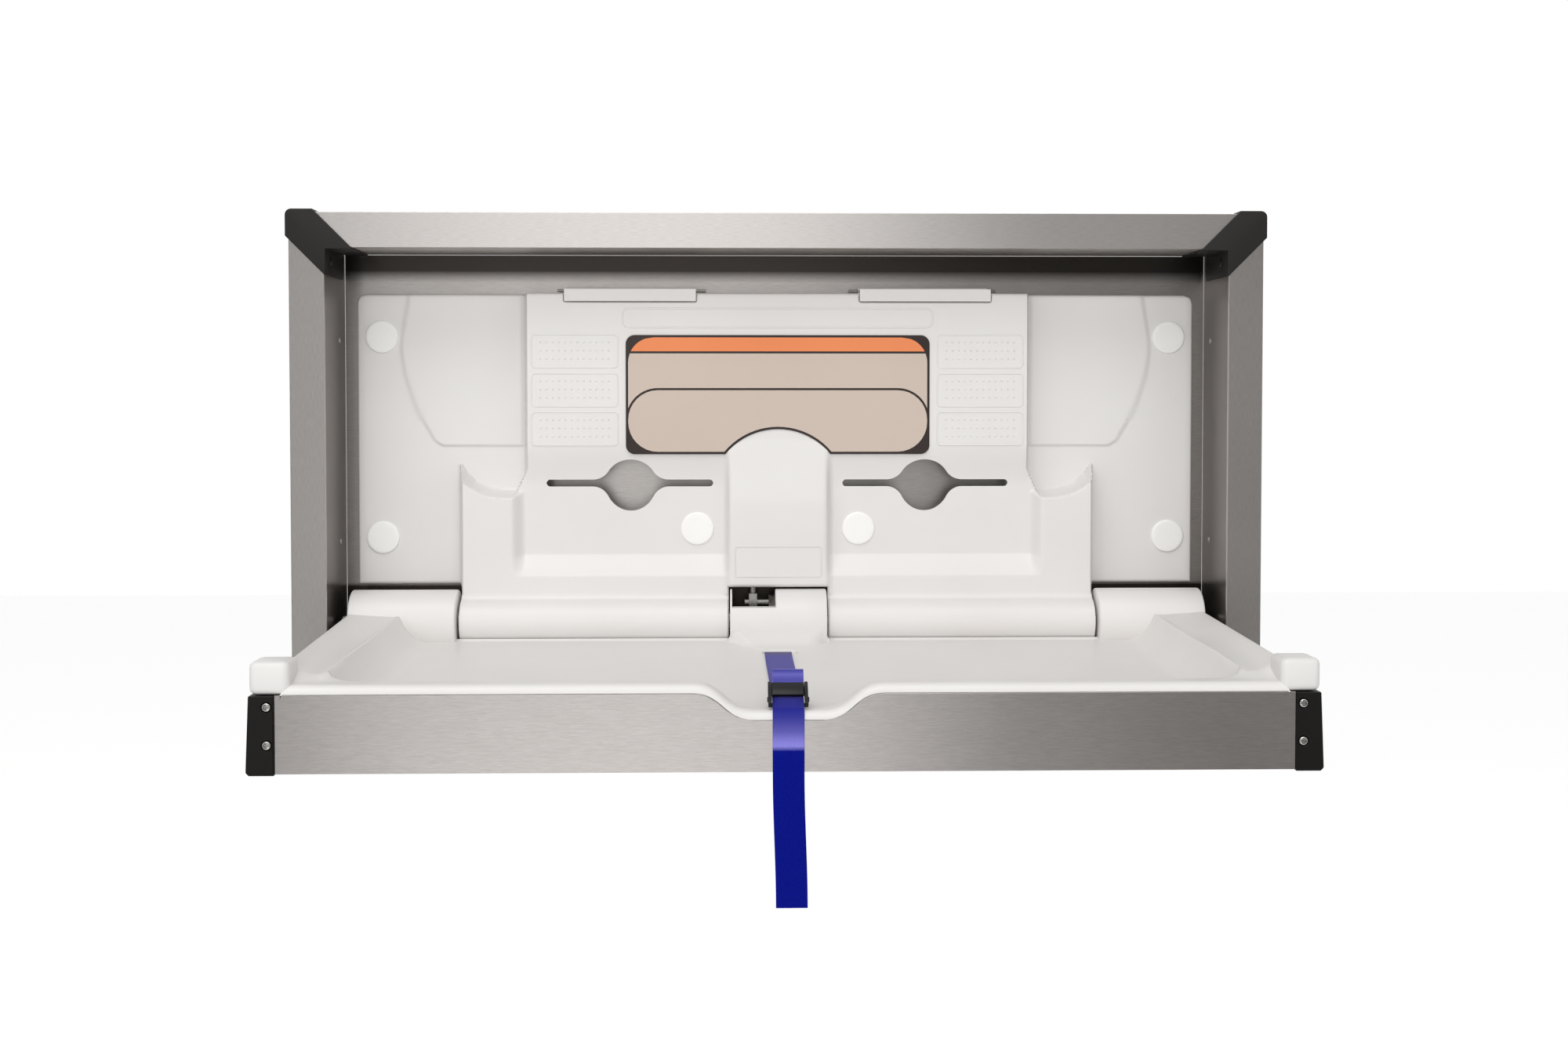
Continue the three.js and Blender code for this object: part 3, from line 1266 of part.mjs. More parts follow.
// Flat webbing of even thickness along a route of reach and height
function ribbon(route) {
  const half = STRAP_THICKNESS / 2;
  const near = [];
  const far = [];
  route.forEach((point, index) => {
    const here = new THREE.Vector2(...point);
    const before = index > 0 ? new THREE.Vector2(...route[index - 1]) : null;
    const after = index < route.length - 1 ? new THREE.Vector2(...route[index + 1]) : null;
    const into = before ? here.clone().sub(before).normalize() : after.clone().sub(here).normalize();
    const out = after ? after.clone().sub(here).normalize() : into;
    const along = into.clone().add(out).normalize();
    const side = new THREE.Vector2(-along.y, along.x).multiplyScalar(half / along.dot(into));
    near.push([here.x + side.x, here.y + side.y]);
    far.push([here.x - side.x, here.y - side.y]);
  });
  return acrossWidth(polygon([...near, ...far.reverse()]), -STRAP_WIDTH / 2, STRAP_WIDTH / 2);
}

// A slab beside a straight stretch of the route, between two offsets from it
function slabAlong(start, direction, length, low, high, fromX, toX) {
  const normal = new THREE.Vector2(-direction.y, direction.x);
  const corner = (along, lift) => [
    start.x + direction.x * along + normal.x * lift,
    start.y + direction.y * along + normal.y * lift,
  ];
  const outline = polygon([corner(0, low), corner(length, low), corner(length, high), corner(0, high)]);
  return acrossWidth(outline, fromX, toX);
}

function buildStrap() {
  const fold = STRAP_ROUTE[STRAP_FOLD_INDEX];
  const leadEnd = [fold[0], fold[1] + STRAP_FOLD_GAP];
  const lead = [...STRAP_ROUTE.slice(0, STRAP_FOLD_INDEX), leadEnd];
  addPart(hinge, 'strap_lead', ribbon(lead), BLUE_WEBBING);
  addPart(hinge, 'strap_tail', ribbon(STRAP_ROUTE.slice(STRAP_FOLD_INDEX)), BLUE_WEBBING);
}

// Buckle: a cover and two cheeks over the webbing, with a bar under its upper end
function buildBuckle() {
  const start = new THREE.Vector2(...STRAP_ROUTE[STRAP_BUCKLE_INDEX]);
  const end = new THREE.Vector2(...STRAP_ROUTE[STRAP_BUCKLE_INDEX + 1]);
  const direction = end.clone().sub(start).normalize();
  const under = STRAP_THICKNESS / 2 + SEAT_GAP;
  const half = BUCKLE_WIDTH / 2;
  const inner = STRAP_WIDTH / 2 + SEAT_GAP;
  const crown = BUCKLE_THICKNESS - under;
  const length = BUCKLE_LENGTH - SEAT_GAP;
  const cover = slabAlong(start, direction, length, under, crown, -half, half);
  const cheeks = SIDES.map((side) => {
    const from = side.x > 0 ? inner : -half;
    return slabAlong(start, direction, length, -under, crown, from, from + half - inner);
  });
  const barTop = -under + SEAT_GAP / 2;
  const bar = slabAlong(start, direction, BUCKLE_BAR, -under - STRAP_THICKNESS, barTop, -half, half);
  addPart(hinge, 'strap_buckle', joined([cover, bar, ...cheeks]), BLACK_PLASTIC);
}

// Anchor plate under the floor, with a slit that the webbing passes through
function buildAnchor() {
  const reach = STRAP_ROUTE[0][0];
  const top = floorLevel(reach + ANCHOR_DEPTH) - TRAY_WALL - SEAT_GAP;
  const plate = block(
    -ANCHOR_WIDTH / 2,
    ANCHOR_WIDTH / 2,
    reach - ANCHOR_DEPTH,
    reach + ANCHOR_DEPTH,
    top - ANCHOR_THICKNESS,
    top,
  );
  const slitHalfWidth = STRAP_WIDTH / 2 + SEAT_GAP;
  const slitHalf = STRAP_THICKNESS / 2 + SEAT_GAP;
  const slit = block(
    -slitHalfWidth,
    slitHalfWidth,
    reach - slitHalf,
    reach + slitHalf,
    top - ANCHOR_THICKNESS - CUT_MARGIN,
    top + CUT_MARGIN,
  );
  addPart(hinge, 'strap_anchor', plate.subtract(slit), BRIGHT_STEEL);
}

buildFrame();
buildCornerCaps();
buildBackPanel();
buildLiner();
buildLids();
buildNoticePlate();
buildPlugs();
buildTray();
buildDoorPanel();
buildLipCaps();
buildChannels();
buildHingeRod();
buildCrank();
buildDamper();
buildStrap();
buildBuckle();
buildAnchor();

export default station;
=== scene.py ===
"""Looks of a wall-mounted baby changing station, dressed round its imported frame, in metres."""
import json
import logging
import math
from collections.abc import Iterable, Sequence
from dataclasses import dataclass
from enum import Enum
from functools import cache

import bmesh
import bpy
import numpy as np
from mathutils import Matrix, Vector


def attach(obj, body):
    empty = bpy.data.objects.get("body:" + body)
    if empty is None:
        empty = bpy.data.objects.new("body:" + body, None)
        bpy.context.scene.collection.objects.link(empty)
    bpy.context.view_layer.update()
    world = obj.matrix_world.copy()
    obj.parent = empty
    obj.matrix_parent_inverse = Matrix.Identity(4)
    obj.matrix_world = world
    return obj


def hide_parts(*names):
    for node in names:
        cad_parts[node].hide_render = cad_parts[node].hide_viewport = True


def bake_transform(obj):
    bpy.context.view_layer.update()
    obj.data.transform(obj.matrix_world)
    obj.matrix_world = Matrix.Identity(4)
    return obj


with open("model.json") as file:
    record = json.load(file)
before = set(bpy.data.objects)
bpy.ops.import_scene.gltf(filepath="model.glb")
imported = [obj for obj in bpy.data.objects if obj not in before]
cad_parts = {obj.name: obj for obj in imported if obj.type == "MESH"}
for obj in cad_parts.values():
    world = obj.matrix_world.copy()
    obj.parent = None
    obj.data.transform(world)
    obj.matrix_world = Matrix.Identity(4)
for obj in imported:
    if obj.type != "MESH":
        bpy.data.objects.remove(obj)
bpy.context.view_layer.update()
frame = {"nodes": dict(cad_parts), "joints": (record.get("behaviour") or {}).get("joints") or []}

log = logging.getLogger("changing_station")
Point = tuple[float, float, float]
Flat = tuple[float, float]
Colour = tuple[float, float, float, float]


class Side(Enum):
    """The two hands of the station, seen from the room."""

    LEFT = -1
    RIGHT = 1

    @property
    def word(self) -> str:
        """The side's word in piece names."""
        return self.name.lower()


class Axis(Enum):
    """The way that an outline is drawn out; the outline's two measures lie across it."""

    ACROSS = 0
    AHEAD = 1
    UP = 2

    def place(self, a: float, b: float, depth: float) -> Point:
        """A point from its two flat measures and its depth along the axis."""
        spot = [a, b]
        spot.insert(self.value, depth)
        return tuple(spot)


@dataclass(frozen=True)
class HingeLine:
    """The line that the tray turns on: reach counts ahead of it, and level above it."""

    y: float
    z: float

    @classmethod
    def of_joint(cls, name: str) -> "HingeLine":
        """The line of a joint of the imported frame.

        Args:
            name: the joint's name.

        Returns:
            The hinge line through the joint's place.
        """
        joint = next(row for row in frame["joints"] if row["name"] == name)
        return cls(joint["pos_m"][1], joint["pos_m"][2])

    def point(self, x: float, reach: float, level: float) -> Vector:
        """A place in the frame, from the hinge line's own measures."""
        return Vector((x, self.y - reach, self.z + level))


HINGE = HingeLine.of_joint("tray_hinge")


def paint(red: int, green: int, blue: int) -> Colour:
    """A colour as a shader takes it.

    Args:
        red: red as seen, 0 to 255.
        green: green as seen.
        blue: blue as seen.

    Returns:
        The linear colour, with full alpha.
    """
    seen = [level / 255 for level in (red, green, blue)]
    linear = [s / 12.92 if s <= 0.04045 else ((s + 0.055) / 1.055) ** 2.4 for s in seen]
    return (*linear, 1.0)


def shrink(outline: Sequence[Flat], inset: float) -> list[Flat]:
    """Draws an outline in, every edge by the same amount.

    Args:
        outline: the closed outline's corners in order.
        inset: how far each edge moves in.

    Returns:
        The moved corners, as many as before.
    """
    if not inset:
        return list(outline)
    points = np.array(outline, float)
    ahead = np.roll(points, -1, axis=0) - points
    ahead /= np.linalg.norm(ahead, axis=1)[:, None]
    turn = np.sum(points[:, 0] * np.roll(points[:, 1], -1) - points[:, 1] * np.roll(points[:, 0], -1))
    inward = np.stack([-ahead[:, 1], ahead[:, 0]], axis=1) * math.copysign(1, turn)
    before = np.roll(inward, 1, axis=0)
    mitre = (inward + before) / (1 + np.sum(inward * before, axis=1))[:, None]
    return [tuple(p) for p in points + inset * mitre]


def rounded_rectangle(low: Flat, high: Flat, radius: float, steps: int = 5) -> list[Flat]:
    """A rectangle with round corners.

    Args:
        low: its lowest corner.
        high: its highest corner.
        radius: the corners' radius.
        steps: edges in each corner.

    Returns:
        The outline, anticlockwise.
    """
    corners = ((high[0], high[1], 0), (low[0], high[1], 90), (low[0], low[1], 180), (high[0], low[1], 270))
    outline = []
    for a, b, start in corners:
        centre = (a - math.copysign(radius, a - low[0] - high[0] + a), b - math.copysign(radius, 2 * b - low[1] - high[1]))
        for k in range(steps + 1):
            angle = math.radians(start + 90 * k / steps)
            outline.append((centre[0] + radius * math.cos(angle), centre[1] + radius * math.sin(angle)))
    return outline


def circle(centre: Flat, radius: float, steps: int = 32) -> list[Flat]:
    """A circle's outline, anticlockwise."""
    turns = [2 * math.pi * k / steps for k in range(steps)]
    return [(centre[0] + radius * math.cos(t), centre[1] + radius * math.sin(t)) for t in turns]


def arc(centre: Flat, radius: float, start: float, end: float, steps: int) -> list[Flat]:
    """Points along an arc.

    Args:
        centre: the arc's centre.
        radius: its radius.
        start: the first point's angle, in degrees.
        end: the last point's angle.
        steps: edges along the arc.

    Returns:
        The points in order.
    """
    turns = [math.radians(start + (end - start) * k / steps) for k in range(steps + 1)]
    return [(centre[0] + radius * math.cos(t), centre[1] + radius * math.sin(t)) for t in turns]


def ease(value: np.ndarray) -> np.ndarray:
    """A smooth rise from 0 to 1."""
    t = np.clip(value, 0, 1)
    return t * t * (3 - 2 * t)


def inside(x: np.ndarray, y: np.ndarray, low: Flat, high: Flat, radius: float) -> np.ndarray:
    """How far points lie inside a rectangle with round corners.

    Args:
        x: the points' first measure.
        y: their second measure.
        low: the rectangle's lowest corner.
        high: its highest corner.
        radius: its corners' radius.

    Returns:
        The depth inside, negative outside.
    """
    dx = np.abs(x - (low[0] + high[0]) / 2) - (high[0] - low[0]) / 2 + radius
    dy = np.abs(y - (low[1] + high[1]) / 2) - (high[1] - low[1]) / 2 + radius
    beyond = np.hypot(np.maximum(dx, 0), np.maximum(dy, 0)) + np.minimum(np.maximum(dx, dy), 0)
    return radius - beyond


def ticks(low: float, high: float, coarse: float, fine: float, near: Iterable[float], span: float) -> list[float]:
    """Grid lines that crowd together near given places.

    Args:
        low: the first line.
        high: the last line.
        coarse: the spacing away from those places.
        fine: the spacing near them.
        near: the places, each of which gets a line.
        span: how far to each side the fine spacing reaches.

    Returns:
        The lines in rising order.
    """
    fixed = sorted({low, high, *(p for p in near if low < p < high)})
    lines = [low]
    for start, end in zip(fixed, fixed[1:]):
        here = start
        while end - here > 1e-9:
            gap = min(here - start, end - here)
            step = fine if gap < span else coarse
            here = end if end - here < 1.4 * step else here + step
            lines.append(here)
    return lines


class Solid:
    """Points and faces of one piece, as (x, reach, level) from the hinge line."""

    def __init__(self) -> None:
        """Starts with nothing."""
        self.points: list[Point] = []
        self.faces: list[tuple[int, ...]] = []

    def add(self, points: Iterable[Point], faces: Iterable[Sequence[int]]) -> "Solid":
        """Adds points, and faces that count from the first of them."""
        base = len(self.points)
        self.points.extend(points)
        self.faces.extend(tuple(base + i for i in face) for face in faces)
        return self

    def loft(self, rings: Sequence[Sequence[Point]]) -> "Solid":
        """Adds a closed skin over rings of equal count.

        Args:
            rings: the rings in order; the first and last are capped.

        Returns:
            This solid.
        """
        count = len(rings[0])
        last = (len(rings) - 1) * count
        faces = [tuple(range(count)), tuple(range(last, last + count))]
        for row in range(0, last, count):
            for k in range(count):
                a, b = row + k, row + (k + 1) % count
                faces.append((a, b, b + count, a + count))
        return self.add([p for ring in rings for p in ring], faces)

    def drawn(self, outline: Sequence[Flat], axis: Axis, start: float, end: float, radius: float = 0.0) -> "Solid":
        """Draws an outline out along an axis, with the edges at both ends rounded.

        Args:
            outline: the closed outline across the axis.
            axis: the way that it is drawn out.
            start: where it starts along the axis.
            end: where it ends.
            radius: the radius of both end edges.

        Returns:
            This solid.
        """
        way = math.copysign(1, end - start)
        turns = [math.radians(t) for t in (0, 30, 60, 90)] if radius else [math.pi / 2]
        head = [(radius * (1 - math.sin(t)), way * radius * (1 - math.cos(t))) for t in turns]
        rows = [(inset, start + rise) for inset, rise in head]
        rows += [(inset, end - rise) for inset, rise in reversed(head)]
        return self.loft([[axis.place(a, b, depth) for a, b in shrink(outline, inset)] for inset, depth in rows])

    def dome(self, centre: Point, radius: float, height: float, way: Axis, sign: int = 1) -> "Solid":
        """Adds a low round button.

        Args:
            centre: the middle of its base.
            radius: its base radius.
            height: how far it stands up.
            way: the axis that it stands along.
            sign: which way along that axis.

        Returns:
            This solid.
        """
        spot = list(centre)
        depth = spot.pop(way.value)
        rings = []
        for turn in (0, 30, 55, 78):
            t = math.radians(turn)
            flat = circle(tuple(spot), radius * math.cos(t), 12)
            rings.append([way.place(a, b, depth + sign * height * math.sin(t)) for a, b in flat])
        return self.loft(rings)

    def bead(self, outline: Sequence[Flat], axis: Axis, depth: float, half: float, height: float) -> "Solid":
        """Adds a low half-round bead along a closed outline on a flat face.

        Args:
            outline: the line that the bead follows.
            axis: the axis that the face looks along.
            depth: the face's place on that axis.
            half: half the bead's width.
            height: how far it stands up.

        Returns:
            This solid.
        """
        section = ((half, -height), (half, 0.0), (0.6 * half, 0.8 * height), (-0.6 * half, 0.8 * height), (-half, 0.0), (-half, -height))
        rings = [[axis.place(a, b, depth + up) for a, b in shrink(outline, inset)] for inset, up in section]
        count, rows = len(outline), len(section)
        faces = []
        for row in range(rows):
            below = (row + 1) % rows
            for k in range(count):
                ahead = (k + 1) % count
                faces.append((row * count + k, row * count + ahead, below * count + ahead, below * count + k))
        return self.add([p for ring in rings for p in ring], faces)

    def mesh(self, name: str, crease: float) -> bpy.types.Object:
        """Makes the object, smooth but for its creases.

        Args:
            name: the piece's name.
            crease: the angle in degrees that stays a sharp edge.

        Returns:
            The object, in place in the frame.
        """
        data = bpy.data.meshes.new(name)
        data.from_pydata([HINGE.point(*p) for p in self.points], [], self.faces)
        work = bmesh.new()
        work.from_mesh(data)
        bmesh.ops.recalc_face_normals(work, faces=work.faces)
        work.to_mesh(data)
        work.free()
        data.shade_smooth()
        data.set_sharp_from_angle(angle=math.radians(crease))
        made = bpy.data.objects.new(name, data)
        bpy.context.scene.collection.objects.link(made)
        return made


class Board:
    """The nodes of one material, made and wired by short calls."""

    def __init__(self, name: str, **values: object) -> None:
        """Starts a material; each value goes to the shader's socket of that name."""
        self.material = bpy.data.materials.new(name)
        self.material.use_nodes = True
        self.tree = self.material.node_tree
        self.shader = self.tree.nodes["Principled BSDF"]
        for key, value in values.items():
            self.shader.inputs[key.replace("_", " ")].default_value = value

    def add(self, kind: str, settings: dict | None = None, **values: object) -> bpy.types.Node:
        """Adds a node.

        Args:
            kind: the node's kind, without its prefix.
            settings: the node's own settings.
            values: a value or a socket for each named input.

        Returns:
            The node.
        """
        node = self.tree.nodes.new("ShaderNode" + kind)
        for key, value in (settings or {}).items():
            setattr(node, key, value)
        for key, value in values.items():
            self.feed(node, key.replace("_", " "), value)
        return node

    def feed(self, node: bpy.types.Node, key: str, value: object) -> None:
        """Links a socket to a node's input, or sets the input's value."""
        target = next(s for s in node.inputs if s.name == key and s.enabled)
        if isinstance(value, bpy.types.NodeSocket):
            self.tree.links.new(value, target)
        else:
            target.default_value = value

    def blend(self, factor: bpy.types.NodeSocket, low: Colour, high: Colour) -> bpy.types.NodeSocket:
        """A colour between two, by a factor that varies over the surface."""
        return self.add("Mix", {"data_type": "RGBA"}, Factor=factor, A=low, B=high).outputs[2]

    def spread(self, factor: bpy.types.NodeSocket, low: float, high: float) -> bpy.types.NodeSocket:
        """A number between two, by a factor that varies over the surface."""
        return self.add("MapRange", None, Value=factor, To_Min=low, To_Max=high).outputs[0]

    def along(self, spot: bpy.types.NodeSocket, way: Axis, span: Flat) -> bpy.types.NodeSocket:
        """How far a spot lies between two places on one axis, from 0 to 1."""
        place = self.add("SeparateXYZ", None, Vector=spot).outputs[way.value]
        return self.add("MapRange", None, Value=place, From_Min=span[0], From_Max=span[1]).outputs[0]

    def shade(self, **sockets: object) -> bpy.types.Material:
        """Feeds the shader's inputs and hands over the material."""
        for key, value in sockets.items():
            self.feed(self.shader, key.replace("_", " "), value)
        return self.material


@dataclass(frozen=True)
class MouldedPlastic:
    """Moulded plastic with a fine mould grain and a faint cloudy shade."""

    name: str
    slot: str
    colour: Colour
    shade: Colour
    roughness: float
    grain: float = 0.0012
    depth: float = 0.00005
    gloss: float = 0.42

    @cache
    def material(self) -> bpy.types.Material:
        """The finish as a material, made once."""
        board = Board(self.name, Specular_IOR_Level=self.gloss)
        spot = board.add("TexCoord").outputs["Object"]
        cloud = board.add("TexNoise", None, Vector=spot, Scale=9.0, Detail=3.0).outputs[0]
        grain = board.add("TexNoise", None, Vector=spot, Scale=1 / self.grain, Detail=2.0).outputs[0]
        bump = board.add("Bump", None, Height=grain, Distance=self.depth, Strength=0.6).outputs[0]
        return board.shade(
            Base_Color=board.blend(cloud, self.shade, self.colour),
            Roughness=board.spread(grain, self.roughness - 0.07, self.roughness + 0.07),
            Normal=bump,
        )


class Grain(Enum):
    """Which way steel is brushed: the axis along the streaks, and the streaks' stretch."""

    ACROSS = ("X", (110.0, 2300.0, 2300.0))
    UPRIGHT = ("Z", (2300.0, 2300.0, 110.0))


@dataclass(frozen=True)
class BrushedSteel:
    """Sheet steel with fine streaks along its brushing, and painted shade: darker tones past the places that have them.
    """

    name: str
    slot: str
    pale: Colour
    dark: Colour
    roughness: float
    grain: Grain
    anisotropy: float = 0.55
    # Painted shade: an axis, a span along it, and the darker tone that stands for shade past the span.
    painted_shade: tuple[tuple[Axis, Flat, Colour], ...] = ()
    # Where the plain tone comes back towards the back, so the rear face carries no painted shade.
    plain_behind: Flat | None = None

    @cache
    def material(self) -> bpy.types.Material:
        """The finish as a material, made once."""
        axis, stretch = self.grain.value
        board = Board(self.name, Metallic=1.0, Anisotropic=self.anisotropy)
        spot = board.add("TexCoord").outputs["Object"]
        drawn = board.add("Mapping", None, Vector=spot, Scale=stretch).outputs[0]
        streak = board.add("TexNoise", None, Vector=drawn, Scale=1.0, Detail=4.0, Roughness=0.65).outputs[0]
        tone = plain = board.blend(board.spread(streak, -0.5, 1.5), self.dark, self.pale)
        # Painted shade: blends towards each darker tone past its span.
        for way, span, shade_tone in self.painted_shade:
            tone = board.blend(board.along(spot, way, span), tone, shade_tone)
        if self.plain_behind:
            tone = board.blend(board.along(spot, Axis.AHEAD, self.plain_behind), tone, plain)
        smudge = board.add("TexNoise", None, Vector=spot, Scale=5.0, Detail=2.0).outputs[0]
        bump = board.add("Bump", None, Height=streak, Distance=0.00004, Strength=0.5).outputs[0]
        tangent = board.add("Tangent", {"direction_type": "RADIAL", "axis": axis}).outputs[0]
        return board.shade(
            Base_Color=tone,
            Roughness=board.spread(smudge, self.roughness - 0.06, self.roughness + 0.08),
            Normal=bump,
            Tangent=tangent,
        )


@dataclass(frozen=True)
class TurnedMetal:
    """Plated or bare small metalwork, faintly mottled."""

    name: str
    slot: str
    pale: Colour
    dark: Colour
    roughness: float

    @cache
    def material(self) -> bpy.types.Material:
        """The finish as a material, made once."""
        board = Board(self.name, Metallic=1.0)
        spot = board.add("TexCoord").outputs["Object"]
        mottle = board.add("TexNoise", None, Vector=spot, Scale=420.0, Detail=3.0).outputs[0]
        bump = board.add("Bump", None, Height=mottle, Distance=0.00004, Strength=0.5).outputs[0]
        return board.shade(
            Base_Color=board.blend(mottle, self.dark, self.pale),
            Roughness=board.spread(mottle, self.roughness - 0.08, self.roughness + 0.1),
            Normal=bump,
        )


@dataclass(frozen=True)
class Webbing:
    """Flat woven webbing: ribs across it and a twill along it, with painted shade and painted highlights at places
    along its length.
    """

    name: str
    slot: str
    bright: Colour
    dark: Colour
    sheen: Colour
    # Painted shade and painted highlights: place along the webbing, colour and share.
    painted_bands: tuple[tuple[float, Colour, float], ...]
    ribs: float = 700.0
    strands: float = 16.0
    fray: float = 0.0015

    @cache
    def material(self) -> bpy.types.Material:
        """The finish as a material, made once."""
        board = Board(self.name, Specular_IOR_Level=0.06, Sheen_Weight=0.7, Sheen_Roughness=0.3, Sheen_Tint=self.sheen)
        run = board.add("UVMap", {"uv_map": "run"}).outputs[0]
        ways = board.add("SeparateXYZ", None, Vector=run).outputs
        across = self.wave(board, ways[0], self.strands * math.tau)
        along = self.wave(board, ways[1], self.ribs * math.tau)
        weave = board.add("Math", {"operation": "MULTIPLY"}).outputs[0]
        board.tree.links.new(across, weave.node.inputs[0])
        board.tree.links.new(along, weave.node.inputs[1])
        fibre = board.add("TexNoise", None, Vector=run, Scale=260.0, Detail=3.0).outputs[0]
        height = board.spread(weave, 0.0, 1.0)
        bump = board.add("Bump", None, Height=height, Distance=0.0003, Strength=0.8).outputs[0]
        # Painted shade and painted highlights, in bands along the webbing.
        painted_light = self.painted_light(board, ways[1], board.spread(fibre, -self.fray, self.fray))
        return board.shade(
            Base_Color=board.blend(painted_light["Alpha"], board.blend(fibre, self.dark, self.bright), painted_light["Color"]),
            Roughness=board.spread(fibre, 0.42, 0.62),
            Normal=bump,
        )

    def painted_light(
        self, board: Board, length: bpy.types.NodeSocket, stray: bpy.types.NodeSocket
    ) -> bpy.types.bpy_prop_collection:
        """The painted shade and painted highlights along the webbing, as colour with its share as alpha.

        Args:
            board: the material's nodes.
            length: the measure along the webbing.
            stray: how far each fibre strays along it.

        Returns:
            The outputs with the colour and its alpha.
        """
        place = board.add("Math", {"operation": "ADD"})
        for source, target in zip((length, stray), place.inputs):
            board.tree.links.new(source, target)
        ramp = board.add("ValToRGB", None, Fac=place.outputs[0])
        stops = ramp.color_ramp.elements
        for at, _, _ in self.painted_bands[1:-1]:
            stops.new(at)
        for stop, (_, colour, share) in zip(stops, self.painted_bands):
            stop.color = (*colour[:3], share)
        return ramp.outputs

    def wave(self, board: Board, measure: bpy.types.NodeSocket, rate: float) -> bpy.types.NodeSocket:
        """A sine along one measure of the webbing.

        Args:
            board: the material's nodes.
            measure: the measure that it follows.
            rate: radians for each unit of the measure.

        Returns:
            The wave's socket.
        """
        turn = board.add("Math", {"operation": "MULTIPLY"})
        board.tree.links.new(measure, turn.inputs[0])
        turn.inputs[1].default_value = rate
        sine = board.add("Math", {"operation": "SINE"})
        board.tree.links.new(turn.outputs[0], sine.inputs[0])
        return sine.outputs[0]


OFF_WHITE = MouldedPlastic("off_white_moulding", "off_white_plastic", paint(231, 229, 227), paint(224, 221, 218), 0.42)
WHITE = MouldedPlastic("white_plug", "white_plastic", paint(250, 249, 247), paint(245, 243, 240), 0.38)
BLACK = MouldedPlastic("black_moulding", "black_plastic", paint(24, 22, 21), paint(17, 16, 15), 0.46, 0.0009, 0.00008, 0.2)
CAP_BLACK = MouldedPlastic("black_frame_cap", "black_plastic", paint(44, 42, 41), paint(36, 34, 33), 0.46, 0.0009, 0.00008, 0.2)
BUCKLE_BLACK = MouldedPlastic("black_buckle", "black_plastic", paint(18, 17, 18), paint(12, 12, 13), 0.36, 0.0008, 0.00005, 0.25)
STEEL_ACROSS = BrushedSteel("steel_brushed_across", "brushed_steel", paint(238, 233, 229), paint(212, 207, 203), 0.30, Grain.ACROSS)
# Painted shade: the side rails' inner walls, behind the front flange, are darker where the recess lies in shade.
STEEL_UPRIGHT = BrushedSteel(
    "steel_brushed_upright", "brushed_steel", paint(212, 207, 203), paint(184, 179, 175), 0.30, Grain.UPRIGHT,
    painted_shade=((Axis.AHEAD, (-0.0988, -0.0965), paint(138, 133, 129)),),
)
STEEL_LIP = BrushedSteel("steel_brushed_lip", "brushed_steel", paint(208, 203, 200), paint(180, 175, 171), 0.30, Grain.ACROSS)
# Painted shade on the back panel's front: darker towards the top, under the top rail.
STEEL_BACK = BrushedSteel(
    "steel_brushed_back", "brushed_steel", paint(204, 200, 196), paint(178, 173, 169), 0.28, Grain.ACROSS,
    # Painted shade also towards the bottom, behind the hinge; the rear face keeps the plain tone.
    painted_shade=((Axis.UP, (0.192, 0.204), paint(66, 62, 59)), (Axis.UP, (-0.1135, -0.1175), paint(60, 55, 52))),
    plain_behind=(-0.0012, -0.0003),
)
BRIGHT_STEEL = TurnedMetal("bright_steel", "bright_steel", paint(206, 204, 200), paint(160, 157, 152), 0.26)
DARK_METAL = TurnedMetal("dark_metal", "dark_metal", paint(92, 90, 88), paint(54, 52, 51), 0.4)
# Painted shade where the webbing comes out of the floor slot, and a pale lilac painted highlight.
PAINTED_SLOT_SHADE, PAINTED_HIGHLIGHT = paint(30, 24, 48), paint(160, 154, 244)
BLUE_WEBBING = Webbing(
    "blue_webbing", "blue_webbing", paint(4, 22, 154), paint(0, 7, 98), paint(206, 198, 255),
    # Bands along the webbing: painted shade at the slot end, a painted highlight where it bends over the lip, and
    # painted highlights on the loop's top.
    painted_bands=(
        (0.0, PAINTED_SLOT_SHADE, 1.0), (0.029, PAINTED_SLOT_SHADE, 1.0), (0.034, PAINTED_SLOT_SHADE, 0.0), (0.290, PAINTED_HIGHLIGHT, 0.0), (0.302, PAINTED_HIGHLIGHT, 0.12),
        (0.313, PAINTED_HIGHLIGHT, 0.34), (0.320, PAINTED_HIGHLIGHT, 0.66), (0.325, PAINTED_HIGHLIGHT, 0.78), (0.327, PAINTED_HIGHLIGHT, 0.0), (0.59, PAINTED_HIGHLIGHT, 0.0),
        (0.60, PAINTED_HIGHLIGHT, 0.26), (0.6145, PAINTED_HIGHLIGHT, 0.26), (0.6165, PAINTED_HIGHLIGHT, 0.66), (0.6180, PAINTED_HIGHLIGHT, 0.16), (0.6215, PAINTED_HIGHLIGHT, 0.12),
        (0.6245, PAINTED_HIGHLIGHT, 0.62), (0.632, PAINTED_HIGHLIGHT, 0.5), (1.0, PAINTED_HIGHLIGHT, 0.0),
    ),
)
PLATE_DARK = MouldedPlastic("plate_border", "plate", paint(60, 52, 50), paint(52, 45, 43), 0.4, 0.002, 0.00003, 0.25)
PLATE_BEIGE = MouldedPlastic("plate_field", "plate", paint(206, 190, 178), paint(199, 183, 170), 0.42, 0.002, 0.00003)
PLATE_ORANGE = MouldedPlastic("plate_band", "plate", paint(238, 144, 92), paint(230, 134, 84), 0.42, 0.002, 0.00003)
Finish = MouldedPlastic | BrushedSteel | TurnedMetal | Webbing


